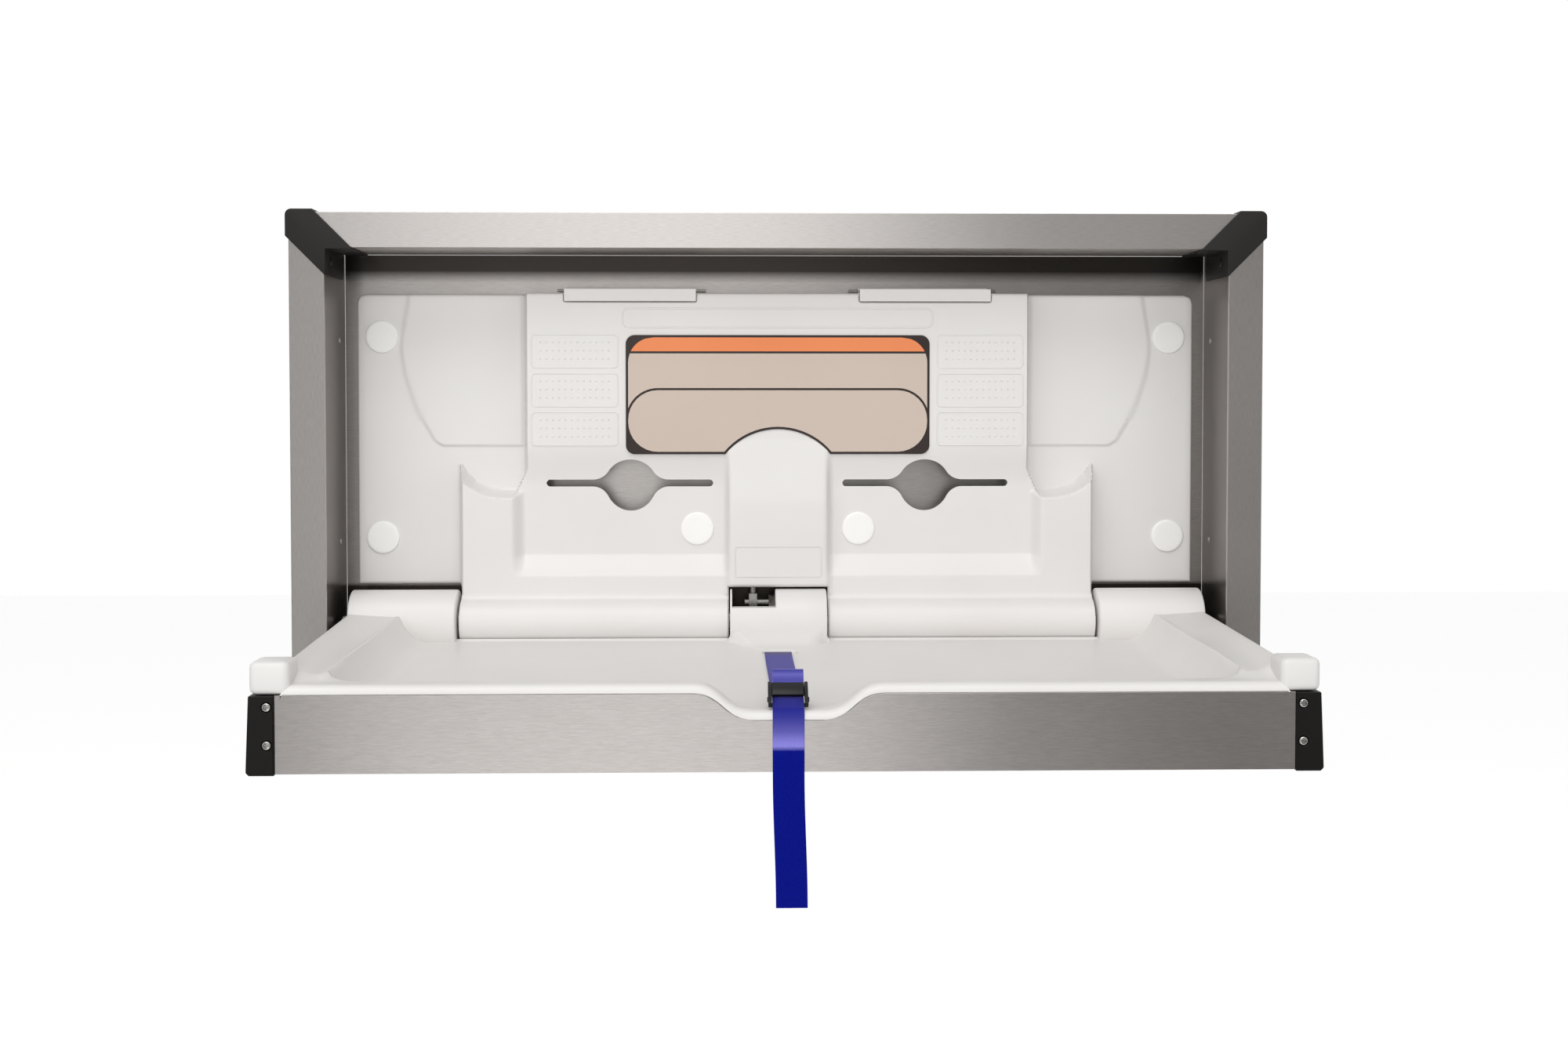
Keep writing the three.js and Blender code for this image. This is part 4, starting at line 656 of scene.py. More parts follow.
def dress(made: bpy.types.Object, finish: Finish, body: str, *nodes: str) -> bpy.types.Object:
    """Gives a new piece its finish and its body.

    Args:
        made: the piece, in place.
        finish: what it is made of.
        body: the body that it rides on.
        nodes: the solids that it stands for.

    Returns:
        The piece.
    """
    made.data.materials.clear()
    made.data.materials.append(finish.material())
    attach(made, body)
    if nodes:
        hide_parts(*nodes)
    log.info("%s rides on %s", made.name, body)
    return made


def refinish(node: str, finish: Finish, bevel: float = 0.0, segments: int = 2) -> None:
    """Gives a carried-over solid its finish, and eases its edges.

    Args:
        node: the solid's name.
        finish: what it is made of.
        bevel: the width of the eased edges, or 0 for none.
        segments: faces across an eased edge.
    """
    solid = frame["nodes"][node]
    solid.data.materials.clear()
    solid.data.materials.append(finish.material())
    if bevel:
        weld = solid.modifiers.new("weld", "WELD")
        weld.merge_threshold = 1e-6
        edge = solid.modifiers.new("edge", "BEVEL")
        edge.width = bevel
        edge.segments = segments
        edge.limit_method = "ANGLE"
        edge.angle_limit = math.radians(40)
        edge.harden_normals = True
        edge.use_clamp_overlap = True
    log.info("%s is kept, in %s", node, finish.name)


@dataclass(frozen=True)
class SoftLight:
    """A square of soft light, aimed at a point."""

    name: str
    place: Point
    aim: Point
    size: Flat
    watts: float
    in_metal: bool = False

    def build(self) -> None:
        """Hangs the light, out of the camera's sight."""
        data = bpy.data.lights.new(self.name, "AREA")
        data.shape = "RECTANGLE"
        data.size, data.size_y = self.size
        data.energy = self.watts
        lamp = bpy.data.objects.new(self.name, data)
        lamp.location = self.place
        lamp.rotation_euler = (Vector(self.aim) - Vector(self.place)).to_track_quat("-Z", "Y").to_euler()
        lamp.visible_camera = False
        lamp.visible_glossy = self.in_metal
        bpy.context.scene.collection.objects.link(lamp)


@dataclass(frozen=True)
class DarkCard:
    """A grey card that only gloss and metal see, as the dim part of the room in front."""

    name: str
    corners: tuple[Point, ...]
    tone: float = 0.25

    def build(self) -> None:
        """Stands the card in its place."""
        data = bpy.data.meshes.new(self.name)
        data.from_pydata(self.corners, [], [tuple(range(len(self.corners)))])
        card = bpy.data.objects.new(self.name, data)
        bpy.context.scene.collection.objects.link(card)
        grey = (self.tone, self.tone, self.tone, 1.0)
        black = (0.0, 0.0, 0.0, 1.0)
        board = Board(self.name, Base_Color=black, Specular_IOR_Level=0.0, Emission_Color=grey, Emission_Strength=1.0)
        data.materials.append(board.material)
        for ray in ("camera", "diffuse", "transmission", "volume_scatter", "shadow"):
            setattr(card, f"visible_{ray}", False)


@dataclass
class Studio:
    """Pale floor, white surround, soft lights, and the camera in front."""

    floor_level: float = -0.95
    floor_size: float = 16.0
    floor_colour: Colour = (0.86, 0.86, 0.86, 1.0)
    fill: float = 0.34
    lens: float = 43.69
    place: Point = (-0.0445, -1.9508, 0.0742)
    tilt: float = 88.09
    turn: float = -1.52
    shift: float = -0.03865
    lights: tuple[SoftLight, ...] = (
        SoftLight("light_above", (-0.4, -1.5, 2.3), (0.0, -0.2, -0.05), (2.2, 1.2), 27.0, True),
        SoftLight("light_front", (-0.3, -3.4, 0.9), (0.0, -0.1, 0.0), (3.0, 1.8), 45.0),
        SoftLight("light_left", (-2.2, -2.3, 0.6), (0.0, -0.1, 0.0), (1.4, 1.8), 9.0),
        SoftLight("light_right", (2.3, -2.2, 0.6), (0.0, -0.1, 0.0), (1.4, 1.8), 8.0),
    )
    cards: tuple[DarkCard, ...] = (
        DarkCard("card_left", ((-5.0, -4.0, -0.94), (-1.2, -4.0, -0.94), (-1.2, -4.0, 3.0), (-5.0, -4.0, 3.0))),
        DarkCard("card_right", ((0.45, -4.0, -0.94), (5.0, -4.0, -0.94), (5.0, -4.0, 3.0), (0.45, -4.0, 3.0))),
        DarkCard("card_floor_left", ((-5.0, -4.0, -0.94), (-1.2, -4.0, -0.94), (-0.5, -1.0, -0.94), (-5.0, -1.0, -0.94))),
        DarkCard("card_floor_right", ((0.45, -4.0, -0.94), (5.0, -4.0, -0.94), (5.0, -1.0, -0.94), (0.15, -1.0, -0.94))),
    )

    def build(self) -> None:
        """Sets up the view, the surround, the floor, the lights and the camera."""
        bpy.context.scene.view_settings.view_transform = "Standard"
        self.build_surround()
        self.build_floor()
        for item in (*self.lights, *self.cards):
            item.build()
        self.build_camera()

    def build_surround(self) -> None:
        """White where the camera, metal or glass sees it, and a plain fill for the rest."""
        world = bpy.data.worlds.new("surround")
        bpy.context.scene.world = world
        world.use_nodes = True
        tree = world.node_tree
        tree.nodes.clear()
        seen = self.seen(tree)
        shades = []
        for strength in (self.fill, 1.0):
            shade = tree.nodes.new("ShaderNodeBackground")
            shade.inputs["Strength"].default_value = strength
            shade.inputs["Color"].default_value = (1.0, 1.0, 1.0, 1.0)
            shades.append(shade.outputs[0])
        self.mix(tree, seen, shades, tree.nodes.new("ShaderNodeOutputWorld").inputs["Surface"])

    def build_floor(self) -> None:
        """A wide pale floor, far below, that meets the white surround."""
        half = self.floor_size / 2
        data = bpy.data.meshes.new("floor")
        corners = [(-half, -half), (half, -half), (half, half), (-half, half)]
        data.from_pydata([(x, y, self.floor_level) for x, y in corners], [], [(0, 1, 2, 3)])
        floor = bpy.data.objects.new("floor", data)
        bpy.context.scene.collection.objects.link(floor)
        board = Board("pale_floor", Base_Color=self.floor_colour, Roughness=0.9, Emission_Color=(1.0, 1.0, 1.0, 1.0))
        seen = self.seen(board.tree)
        board.feed(board.shader, "Emission Strength", board.spread(seen, 0.0, 0.62))
        data.materials.append(board.material)

    def seen(self, tree: bpy.types.NodeTree) -> bpy.types.NodeSocket:
        """One where the camera, a mirror or glass looks, and zero for plain light.

        Args:
            tree: the nodes to add to.

        Returns:
            The socket with that number.
        """
        path = tree.nodes.new("ShaderNodeLightPath")
        total = path.outputs["Is Camera Ray"]
        for name in ("Is Glossy Ray", "Is Transmission Ray"):
            either = tree.nodes.new("ShaderNodeMath")
            either.operation = "MAXIMUM"
            tree.links.new(total, either.inputs[0])
            tree.links.new(path.outputs[name], either.inputs[1])
            total = either.outputs[0]
        return total

    def mix(
        self,
        tree: bpy.types.NodeTree,
        factor: bpy.types.NodeSocket,
        shades: Sequence[bpy.types.NodeSocket],
        target: bpy.types.NodeSocket,
    ) -> None:
        """Wires two shades to a target by a factor.

        Args:
            tree: the nodes to add to.
            factor: the share of the second shade.
            shades: the two shades.
            target: the socket that takes the mix.
        """
        mixed = tree.nodes.new("ShaderNodeMixShader")
        tree.links.new(factor, mixed.inputs[0])
        for shade, socket in zip(shades, mixed.inputs[1:]):
            tree.links.new(shade, socket)
        tree.links.new(mixed.outputs[0], target)

    def build_camera(self) -> None:
        """A camera at standing height, square on to the station."""
        data = bpy.data.cameras.new("camera")
        data.lens = self.lens
        data.sensor_width = 36.0
        data.sensor_fit = "HORIZONTAL"
        data.shift_y = self.shift
        camera = bpy.data.objects.new("camera", data)
        camera.location = self.place
        camera.rotation_euler = (math.radians(self.tilt), 0.0, math.radians(self.turn))
        bpy.context.scene.collection.objects.link(camera)
        bpy.context.scene.camera = camera


@dataclass
class Strap:
    """Blue webbing from the floor slot over the lip, its loop, and its buckle."""

    width: float = 0.026
    thickness: float = 0.0016
    pitch: float = 0.002
    lean: float = 0.0026
    drift: float = 0.002
    fold_level: float = -0.0818
    fold_span: float = 0.008
    loop_aside: float = 0.0008
    # The loop's length starts here, so that it takes the painted highlights at 0.59 to 0.65 along the webbing.
    loop_start: float = 0.6
    route: tuple[Flat, ...] = (
        (0.0835, -0.0350), (0.0835, -0.0230), (0.0852, -0.0206), (0.0885, -0.0201), (0.1500, -0.0242),
        (0.2100, -0.0282), (0.2620, -0.0316), (0.2840, -0.0310), (0.3060, -0.0260), (0.3220, -0.0206),
        (0.3330, -0.0186), (0.3610, -0.0288), (0.3642, -0.0316), (0.3660, -0.0362), (0.3666, -0.0430),
        (0.3666, -0.0818), (0.3666, -0.1915),
    )
    loop: tuple[Flat, ...] = (
        (0.3330, -0.0176), (0.3262, -0.0170), (0.3222, -0.0130), (0.3185, -0.0068), (0.3150, -0.0040),
        (0.3112, -0.0052), (0.3098, -0.0090), (0.3116, -0.0140), (0.3160, -0.0190), (0.3240, -0.0200),
    )

    def smooth(self, corners: Sequence[Flat]) -> np.ndarray:
        """A run of webbing with its corners cut round, at an even pitch.

        Args:
            corners: the run's points, as (reach, level).

        Returns:
            The points of the smooth run.
        """
        points = np.array(corners, float)
        for _ in range(3):
            cut = np.empty((2 * len(points) - 2, 2))
            cut[0::2] = 0.75 * points[:-1] + 0.25 * points[1:]
            cut[1::2] = 0.25 * points[:-1] + 0.75 * points[1:]
            points = np.vstack([points[:1], cut, points[-1:]])
        gone = np.concatenate([[0], np.cumsum(np.linalg.norm(np.diff(points, axis=0), axis=1))])
        marks = np.linspace(0, gone[-1], max(8, round(gone[-1] / self.pitch)))
        return np.stack([np.interp(marks, gone, points[:, k]) for k in (0, 1)], axis=1)

    def sway(self, reach: np.ndarray, level: np.ndarray) -> np.ndarray:
        """How far the run stands to the side: it starts askew at the slot and leans as it hangs."""
        hang = ease((self.fold_level - level) / 0.11) * self.lean
        return hang - self.drift * ease((0.24 - reach) / 0.15)

    def section(self) -> list[Flat]:
        """The webbing's section, across and through, with full edges."""
        half, thick = self.width / 2, self.thickness / 2
        inner = half - thick
        edge = [(inner + thick * math.cos(t), thick * math.sin(t)) for t in np.radians((-60, -20, 20, 60))]
        top = [(inner * k, 0.86 * thick) for k in (0.9, 0.45, 0.0, -0.45, -0.9)]
        far = [(-a, -b) for a, b in edge]
        return edge + top + far + [(-a, -b) for a, b in top]

    def ribbon(self, name: str, run: np.ndarray, sway: np.ndarray, start: float = 0.0) -> bpy.types.Object:
        """Draws the webbing's section along a run.

        Args:
            name: the piece's name.
            run: the run's points, as (reach, level).
            sway: each point's shift to the side.
            start: the length of webbing that comes before the run.

        Returns:
            The ribbon, with its length and width laid out for the weave.
        """
        section = self.section()
        way = np.gradient(run, axis=0)
        way /= np.linalg.norm(way, axis=1)[:, None]
        rings = []
        for (reach, level), (ahead, up), aside in zip(run, way, sway):
            rings.append([(across + aside, reach - up * out, level + ahead * out) for across, out in section])
        ribbon = Solid().loft(rings).mesh(name, 70)
        count = len(section)
        measure = ribbon.data.uv_layers.new(name="run")
        for loop in ribbon.data.loops:
            ring, k = divmod(loop.vertex_index, count)
            measure.data[loop.index].uv = (0.5 + section[k][0] / self.width, start + ring * self.pitch)
        return ribbon

    def build(self) -> None:
        """Makes the strap, its loop and its buckle."""
        run = self.smooth(self.route)
        sway = self.sway(run[:, 0], run[:, 1])
        path = [HINGE.point(aside, reach, level) for (reach, level), aside in zip(run, sway)]
        strap = self.ribbon("strap_webbing", run, sway)
        strap.data.materials.append(BLUE_WEBBING.material())
        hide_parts("strap_lead", "strap_tail")
        start = HINGE.point(0.0, self.route[-2][0], self.fold_level + self.fold_span)
        end = HINGE.point(0.0, self.route[-2][0], self.fold_level - self.fold_span)
        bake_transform(strap)
        loop_run = self.smooth(self.loop)
        aside = np.full(len(loop_run), self.loop_aside)
        loop = dress(self.ribbon("strap_loop", loop_run, aside, self.loop_start), BLUE_WEBBING, "tray")
        buckle = self.build_buckle()

    def build_buckle(self) -> bpy.types.Object:
        """Makes the buckle: two cheeks with their rivets, a broad cam plate and two bars, tilted with the strap.

        Returns:
            The buckle, on the tray.
        """
        start, end = np.array(self.route[10]), np.array(self.route[11])
        ahead = (end - start) / np.linalg.norm(end - start)
        up = np.array([-ahead[1], ahead[0]])
        buckle = Solid()

        def flat(points: Iterable[Flat]) -> list[Flat]:
            """Turns points along and above the strap into reach and level."""
            return [tuple(start + a * ahead + b * up) for a, b in points]

        cheek = flat([
            (0.0030, -0.0010), (0.0272, -0.0010), (0.0290, 0.0006), (0.0288, 0.0040), (0.0262, 0.0056),
            (0.0190, 0.0060), (0.0130, 0.0088), (0.0040, 0.0100), (0.0012, 0.0086), (0.0006, 0.0020),
        ])
        for side in Side:
            buckle.drawn(cheek, Axis.ACROSS, side.value * 0.0136, side.value * 0.0164, 0.0005)
            rivet = flat([(0.0215 + 0.0022 * math.cos(t), 0.0030 + 0.0022 * math.sin(t)) for t in np.linspace(0, math.tau, 13)[:-1]])
            buckle.drawn(rivet, Axis.ACROSS, side.value * 0.0160, side.value * 0.0172, 0.0004)
        cam = flat([
            (0.0016, 0.0022), (0.0050, 0.0014), (0.0128, 0.0016), (0.0152, 0.0026), (0.0158, 0.0044),
            (0.0140, 0.0060), (0.0080, 0.0082), (0.0034, 0.0090), (0.0014, 0.0074),
        ])
        buckle.drawn(cam, Axis.ACROSS, -0.0133, 0.0133, 0.0006)
        for along in (0.0215, 0.0245):
            bar = flat([(along + 0.0011 * math.cos(t), -0.0014 + 0.0011 * math.sin(t)) for t in np.linspace(0, math.tau, 11)[:-1]])
            buckle.drawn(bar, Axis.ACROSS, -0.0150, 0.0150)
        return dress(buckle.mesh("strap_buckle_cam", 35), BUCKLE_BLACK, "tray", "strap_buckle")


def step(depth: np.ndarray, draft: float) -> np.ndarray:
    """A smooth step up across an outline, over a draft that lies half to each side."""
    return ease(0.5 + depth / draft)


def round_over(depth: np.ndarray, radius: float) -> np.ndarray:
    """How far an edge of that radius falls away, by the depth inside the edge."""
    gap = np.clip(radius - depth, 0, radius)
    return radius - np.sqrt(radius**2 - gap**2)


def soft_min(a: np.ndarray, b: np.ndarray, width: float) -> np.ndarray:
    """The lesser of two heights, with the crease between them eased over a width."""
    share = np.clip(0.5 + 0.5 * (b - a) / width, 0, 1)
    return b + (a - b) * share - width * share * (1 - share)


@dataclass
class TrayMoulding:
    """The moulded tray: basin, rims, nose with its dip, ears, knuckles and rear body."""

    rim: float = 0.0115
    rim_inner: tuple[Flat, ...] = (
        (0.0365, 0.0083), (0.136, 0.0027), (0.242, -0.0008), (0.325, -0.0048), (0.352, -0.0087),
    )
    rim_end: Flat = (0.325, 0.355)
    rim_hollow: float = 3.5
    ridge: float = 0.0018
    ridge_half: float = 0.004
    front_rim: float = -0.0087
    lip_top: float = -0.0166
    seat: float = 0.0003
    bottom: float = -0.0791
    reach: float = 0.365
    rear: float = 0.0235
    nose_start: float = 0.3570
    nose_drop: float = 0.0064
    nose_back: float = 0.3634
    basin_front: float = 0.342
    basin_corner: float = 0.030
    side_draft: float = 0.030
    rim_edge: float = 0.005
    dip_top: float = 0.078
    dip_bottom: float = 0.028
    dip_drop: float = 0.022
    slot: tuple[Flat, Flat] = ((-0.016, 0.0785), (0.016, 0.0872))
    slot_depth: float = 0.014
    apron_half: float = 0.048
    apron_reach: float = 0.0795
    ear: tuple[Flat, Flat] = ((0.403, 0.327), (0.4355, 0.365))
    ear_top: float = 0.0105
    knuckle: float = 0.032
    knuckle_span: Flat = (0.3185, 0.424)
    centre_half: float = 0.048
    notch: Flat = (-0.046, -0.003)
    notch_level: float = 0.016
    arc_radius: float = 0.0425

    def half_width(self, reach: np.ndarray) -> np.ndarray:
        """Half the width outside the side rims, which draw in towards the front."""
        return np.interp(reach, (0.0, 0.327), (0.426, 0.410))

    def basin_half(self, reach: np.ndarray) -> np.ndarray:
        """Half the width between the side rims."""
        return np.interp(reach, (0.03, 0.32), (0.3725, 0.3805))

    def dip(self, x: np.ndarray) -> np.ndarray:
        """The share of the front edge's dip at a place across the tray."""
        t = np.linspace(0, 1, 41)
        middle = (self.dip_top + self.dip_bottom) / 2
        across = self.dip_top * (1 - t) ** 3 + 3 * middle * t * (1 - t) + self.dip_bottom * t**3
        return np.interp(np.abs(x), across[::-1], (t * t * (3 - 2 * t))[::-1])

    def underside(self, reach: float) -> float:
        """The level of the moulding's underside, along its rear chamfer and its flat bottom."""
        return float(np.interp(reach, (0.0088, 0.092), (-0.0416, self.bottom)))

    def side_rim(self, x: np.ndarray, reach: np.ndarray) -> np.ndarray:
        """The level of the side rims, whose inner edge falls away and hollows towards the front.

        Args:
            x: places across the tray.
            reach: the same places' reach.

        Returns:
            The level at each place.
        """
        basin, half = self.basin_half(reach), self.half_width(reach)
        inner = np.interp(reach, *zip(*self.rim_inner))
        out = np.clip((np.abs(x) - basin) / (half - basin), 0, 1)
        return inner + (self.rim - inner) * out ** (1 + self.rim_hollow * reach / self.reach)

    def level(self, x: np.ndarray, reach: np.ndarray) -> np.ndarray:
        """The level of the tray's upper side.

        Args:
            x: places across the tray.
            reach: the same places' reach.

        Returns:
            The level at each place.
        """
        floor = np.interp(reach, (self.rear, 0.324), (-0.017, -0.037))
        basin = self.basin_half(reach)
        depth = inside(x, reach, (-basin, -0.2), (basin, self.basin_front), self.basin_corner)
        front = self.front_rim - self.dip_drop * self.dip(x) * ease((reach - 0.300) / 0.025)
        start, end = self.rim_end
        beside = ease((np.abs(x) - basin + 0.045) / 0.03) * ease((end - reach) / (end - start))
        rim = front + (self.side_rim(x, reach) - front) * beside
        climb = (1 - np.clip(depth / self.side_draft, 0, 1)) ** 2.2
        wall = floor + (rim - floor) * climb + 3 * np.maximum(-depth, 0)
        level = soft_min(rim, wall, 0.004) - round_over(self.half_width(reach) - np.abs(x), self.rim_edge)
        level = level + self.ridge * beside * np.clip(1 - ((np.abs(x) - basin) / self.ridge_half) ** 2, 0, 1) ** 2
        bow = np.clip(1 - (x / self.apron_half) ** 2, 0, 1) ** 1.3
        edge = self.rear + 0.004 + (self.apron_reach - self.rear - 0.004) * bow
        apron = step(np.minimum(edge - reach, self.apron_half - np.abs(x)), 0.008)
        level = level + apron * (0.0014 + 0.010 * ease((0.060 - reach) / 0.034))
        return level - self.slot_depth * step(inside(x, reach, *self.slot, 0.003), 0.0009)

    def columns(self) -> np.ndarray:
        """Grid lines across the tray: up to 1 in the basin, and from 1 to 2 on the rim."""
        basin = ticks(0.0, 0.24, 0.0075, 0.0018, (0.043, 0.1287), 0.0055)
        basin += ticks(0.24, 0.915, 0.03, 0.03, (), 0.0)[1:-1] + list(np.linspace(0.915, 1.0, 16))
        rim = list(np.linspace(1.0, 1.12, 4))[1:] + list(np.linspace(1.12, 1.88, 7))[1:] + list(np.linspace(1.88, 2.0, 8))[1:]
        half = np.array(basin + rim)
        return np.concatenate([-half[:0:-1], half])

    def rows(self) -> list[float]:
        """Grid lines ahead, from the hinge to where the nose begins."""
        near = ticks(self.rear, 0.095, 0.0035, 0.0007, (0.0785, 0.0872), 0.0014)
        middle = ticks(0.095, 0.31, 0.012, 0.012, (), 0.0)
        return near + middle[1:] + list(np.linspace(0.31, self.nose_start, 26))[1:]

    def across(self, reach: float) -> np.ndarray:
        """Where the grid's columns lie at one reach."""
        share = self.columns()
        basin, half = self.basin_half(reach), self.half_width(reach)
        size = np.abs(share)
        return np.sign(share) * np.where(size < 1, size * basin, basin + (size - 1) * (half - basin))

    def ring(self, x: np.ndarray, reach: np.ndarray, level: np.ndarray, below: float) -> list[Point]:
        """One ring of the tray's skin: over its top, and down to its underside at both ends.

        Args:
            x: the top's places across.
            reach: their reach.
            level: their level.
            below: the underside's level.

        Returns:
            The ring's points.
        """
        top = [tuple(map(float, p)) for p in zip(x, reach, level)]
        return top + [(top[-1][0], top[-1][1], below), (top[0][0], top[0][1], below)]

    def skin(self) -> list[list[Point]]:
        """The rings of the basin, rims and nose, from the hinge to the lip.

        Returns:
            Rings of equal count.
        """
        rings = []
        for reach in self.rows():
            x = self.across(reach)
            here = np.full_like(x, reach)
            rings.append(self.ring(x, here, self.level(x, here), self.underside(reach)))
        x = self.across(self.nose_start)
        start = self.level(x, np.full_like(x, self.nose_start))
        edge = self.lip_top + self.seat - self.dip_drop * self.dip(x)
        run = self.reach - self.nose_start
        for turn in np.radians((15, 30, 45, 60, 75, 90)):
            here = np.full_like(x, self.nose_start + run * math.sin(turn))
            rings.append(self.ring(x, here, start - self.nose_drop * (1 - math.cos(turn)), self.bottom))
        rings.append(self.ring(x, np.full_like(x, self.reach), edge + 0.0004, self.bottom))
        rings.append(self.ring(x, np.full_like(x, self.reach - 0.0004), edge, self.bottom))
        rings.append(self.ring(x, np.full_like(x, self.nose_back), edge, self.bottom))
        rings.append(self.ring(x, np.full_like(x, self.nose_back), np.full_like(x, self.bottom + 0.0004), self.bottom))
        return rings

    def build(self) -> None:
        """Makes the tray's moulding."""
        tray = Solid().loft(self.skin())
        rear_body = (
            arc((0.0, 0.0), self.arc_radius, -150, -78, 12) + [(0.0246, -0.0487), (0.0246, -0.0186)]
            + arc((0.0, 0.0), self.rear, -40, -150, 16)
        )
        tray.drawn(rear_body, Axis.ACROSS, -0.4255, 0.4255, 0.001)
        for side in Side:
            start, end = (side.value * a for a in self.knuckle_span)
            tray.drawn(circle((0.0, 0.0), self.knuckle, 72), Axis.ACROSS, start, end, 0.002)
            low, high = self.ear
            ear = rounded_rectangle((min(side.value * low[0], side.value * high[0]), low[1]),
                                    (max(side.value * low[0], side.value * high[0]), high[1]), 0.006)
            tray.drawn(ear, Axis.UP, self.lip_top + self.seat, self.ear_top, 0.005)
        self.add_centre_knuckle(tray)
        dress(tray.mesh("tray_moulding", 40), OFF_WHITE, "tray", "tray_shell")

    def add_centre_knuckle(self, tray: Solid) -> None:
        """Adds the centre knuckle, cut open over the damper's crank.

        Args:
            tray: the solid to add to.
        """
        full = circle((0.0, 0.0), self.knuckle, 72)
        tray.drawn(full, Axis.ACROSS, self.notch[1], self.centre_half, 0.0015)
        tray.drawn(full, Axis.ACROSS, -self.centre_half, self.notch[0], 0.0006)
        cut = math.degrees(math.asin(self.notch_level / self.knuckle))
        trough = arc((0.0, 0.0), self.knuckle, cut, -140, 40) + arc((0.0, 0.0), self.knuckle - 0.0025, -140, -75, 16)
        trough.append((0.014, self.notch_level))
        tray.drawn(trough, Axis.ACROSS, self.notch[0] - 0.001, self.notch[1] + 0.002)


@dataclass
class WallLiner:
    """The moulded liner: plate, side panels, paper box, pocket, ridges, pillar and hinge barrels."""

    half: float = 0.425
    low: float = 0.034
    high: float = 0.328
    back: float = -0.0482
    plate: float = -0.035
    corner: float = 0.009
    edge: float = 0.004
    side_panel: float = 0.002
    box: tuple[Flat, Flat] = ((-0.253, 0.1345), (0.253, 0.36))
    box_front: float = -0.005
    box_tuck: Flat = (0.134, 0.180)
    pocket: float = -0.012
    pocket_half: float = 0.29
    band: Flat = (0.045, 0.066)
    ridge: Flat = (0.2600, 0.3185)
    ridge_slope: float = 0.013
    pillar_half: float = 0.051
    pillar_arch: Flat = (0.126, 0.068)
    pillar_front: float = 0.005
    pillar_end: float = 0.182
    barrel: float = 0.022
    barrel_span: Flat = (0.0495, 0.317)
    fillet: float = 0.006
    hole: Flat = (0.1475, 0.1378)
    hole_drop: float = 0.002
    hole_radius: float = 0.0258
    hole_flare: float = 0.018
    slit: Flat = (0.065, 0.232)
    slit_half: float = 0.0035

    def front(self, x: np.ndarray, level: np.ndarray) -> np.ndarray:
        """How far ahead the liner's face stands.

        Args:
            x: places across the liner.
            level: the same places' level.

        Returns:
            The reach at each place.
        """
        a = np.abs(x)
        outer = np.interp(level, (0.1745, 0.18, 0.2136, 0.2500, 0.277, 0.3275), (0.338, 0.3465, 0.366, 0.3772, 0.3806, 0.3716))
        panel = np.minimum(np.minimum(a - 0.258, outer - a), level - 0.1748)
        face = self.plate + self.side_panel * step(panel, 0.0022)
        top = np.interp(a, (0.256, 0.275, 0.286, 0.297, 0.306, 0.314, 0.3196), (0.1263, 0.1266, 0.1280, 0.131, 0.1360, 0.1435, 0.1529))
        inner = np.minimum(self.pocket_half - a, np.interp(a, (0.252, 0.266), (0.152, 0.1223)) - level)
        face = face + (self.pocket - face) * step(inner, 0.004)
        rise = np.clip((self.band[1] - level) / (self.band[1] - self.band[0]), 0, 1)
        face = np.where((a < self.pocket_half) & (rise > 0), np.maximum(face, self.pocket * (1 - rise)), face)
        outside = np.minimum(self.ridge[1] - a, top - level)
        slope = step(a - self.ridge[0], self.ridge_slope)
        face = face + (0.0 - face) * np.minimum(step(outside, 0.008), np.where(level < self.band[0], 1.0, slope))
        tuck = ease((level - self.box_tuck[0]) / (self.box_tuck[1] - self.box_tuck[0]))
        box = self.pocket + (self.box_front - self.pocket) * tuck
        face = face + (box - face) * step(inside(x, level, *self.box, 0.016), 0.006)
        pillar = np.interp(level, (0.09, 0.12, 0.15, self.pillar_end), (self.pillar_front, 0.0042, -0.0008, self.box_front))
        arch = self.pillar_arch[1] - np.hypot(x, np.maximum(level - self.pillar_arch[0], 0))
        face = face + np.maximum(pillar - face, 0) * step(np.minimum(self.pillar_half - a, arch), 0.007)
        rim = np.minimum(self.half - a, self.high - level)
        barrels = (a > self.barrel_span[0]) & (a < self.barrel_span[1])
        rim = np.where(barrels, rim, np.minimum(rim, level - self.low))
        end = np.minimum(a - self.barrel_span[0], self.barrel_span[1] - a)
        neck = np.where(barrels & (level < self.low), end, 1.0)
        return face - round_over(np.maximum(rim, 0), self.edge) - round_over(np.maximum(neck, 0), 0.002)

    def columns(self) -> np.ndarray:
        """Grid lines across the liner, crowded where its face steps."""
        near = (0.0495, 0.051, 0.253, 0.257, 0.317, 0.3185)
        half = [c for c in ticks(0.0, self.half, 0.006, 0.0011, near, 0.0055) if c < 0.332]
        half = [c for c in half if not 0.25 < c < 0.32] + ticks(0.25, 0.32, 0.0016, 0.0016, (), 0.0)
        half = half + ticks(0.332, 0.386, 0.0022, 0.0022, (), 0.0)
        half += ticks(0.386, self.half, 0.006, 0.0010, (), 0.0055)[1:]
        arch = ticks(0.0, 0.056, 0.0022, 0.0022, (0.0495, 0.051), 0.0)
        half = sorted({round(c, 6) for c in half if c > 0.056} | {round(c, 6) for c in arch} | {0.0495, 0.051})
        half = np.array(half)
        return np.concatenate([-half[:0:-1], half])

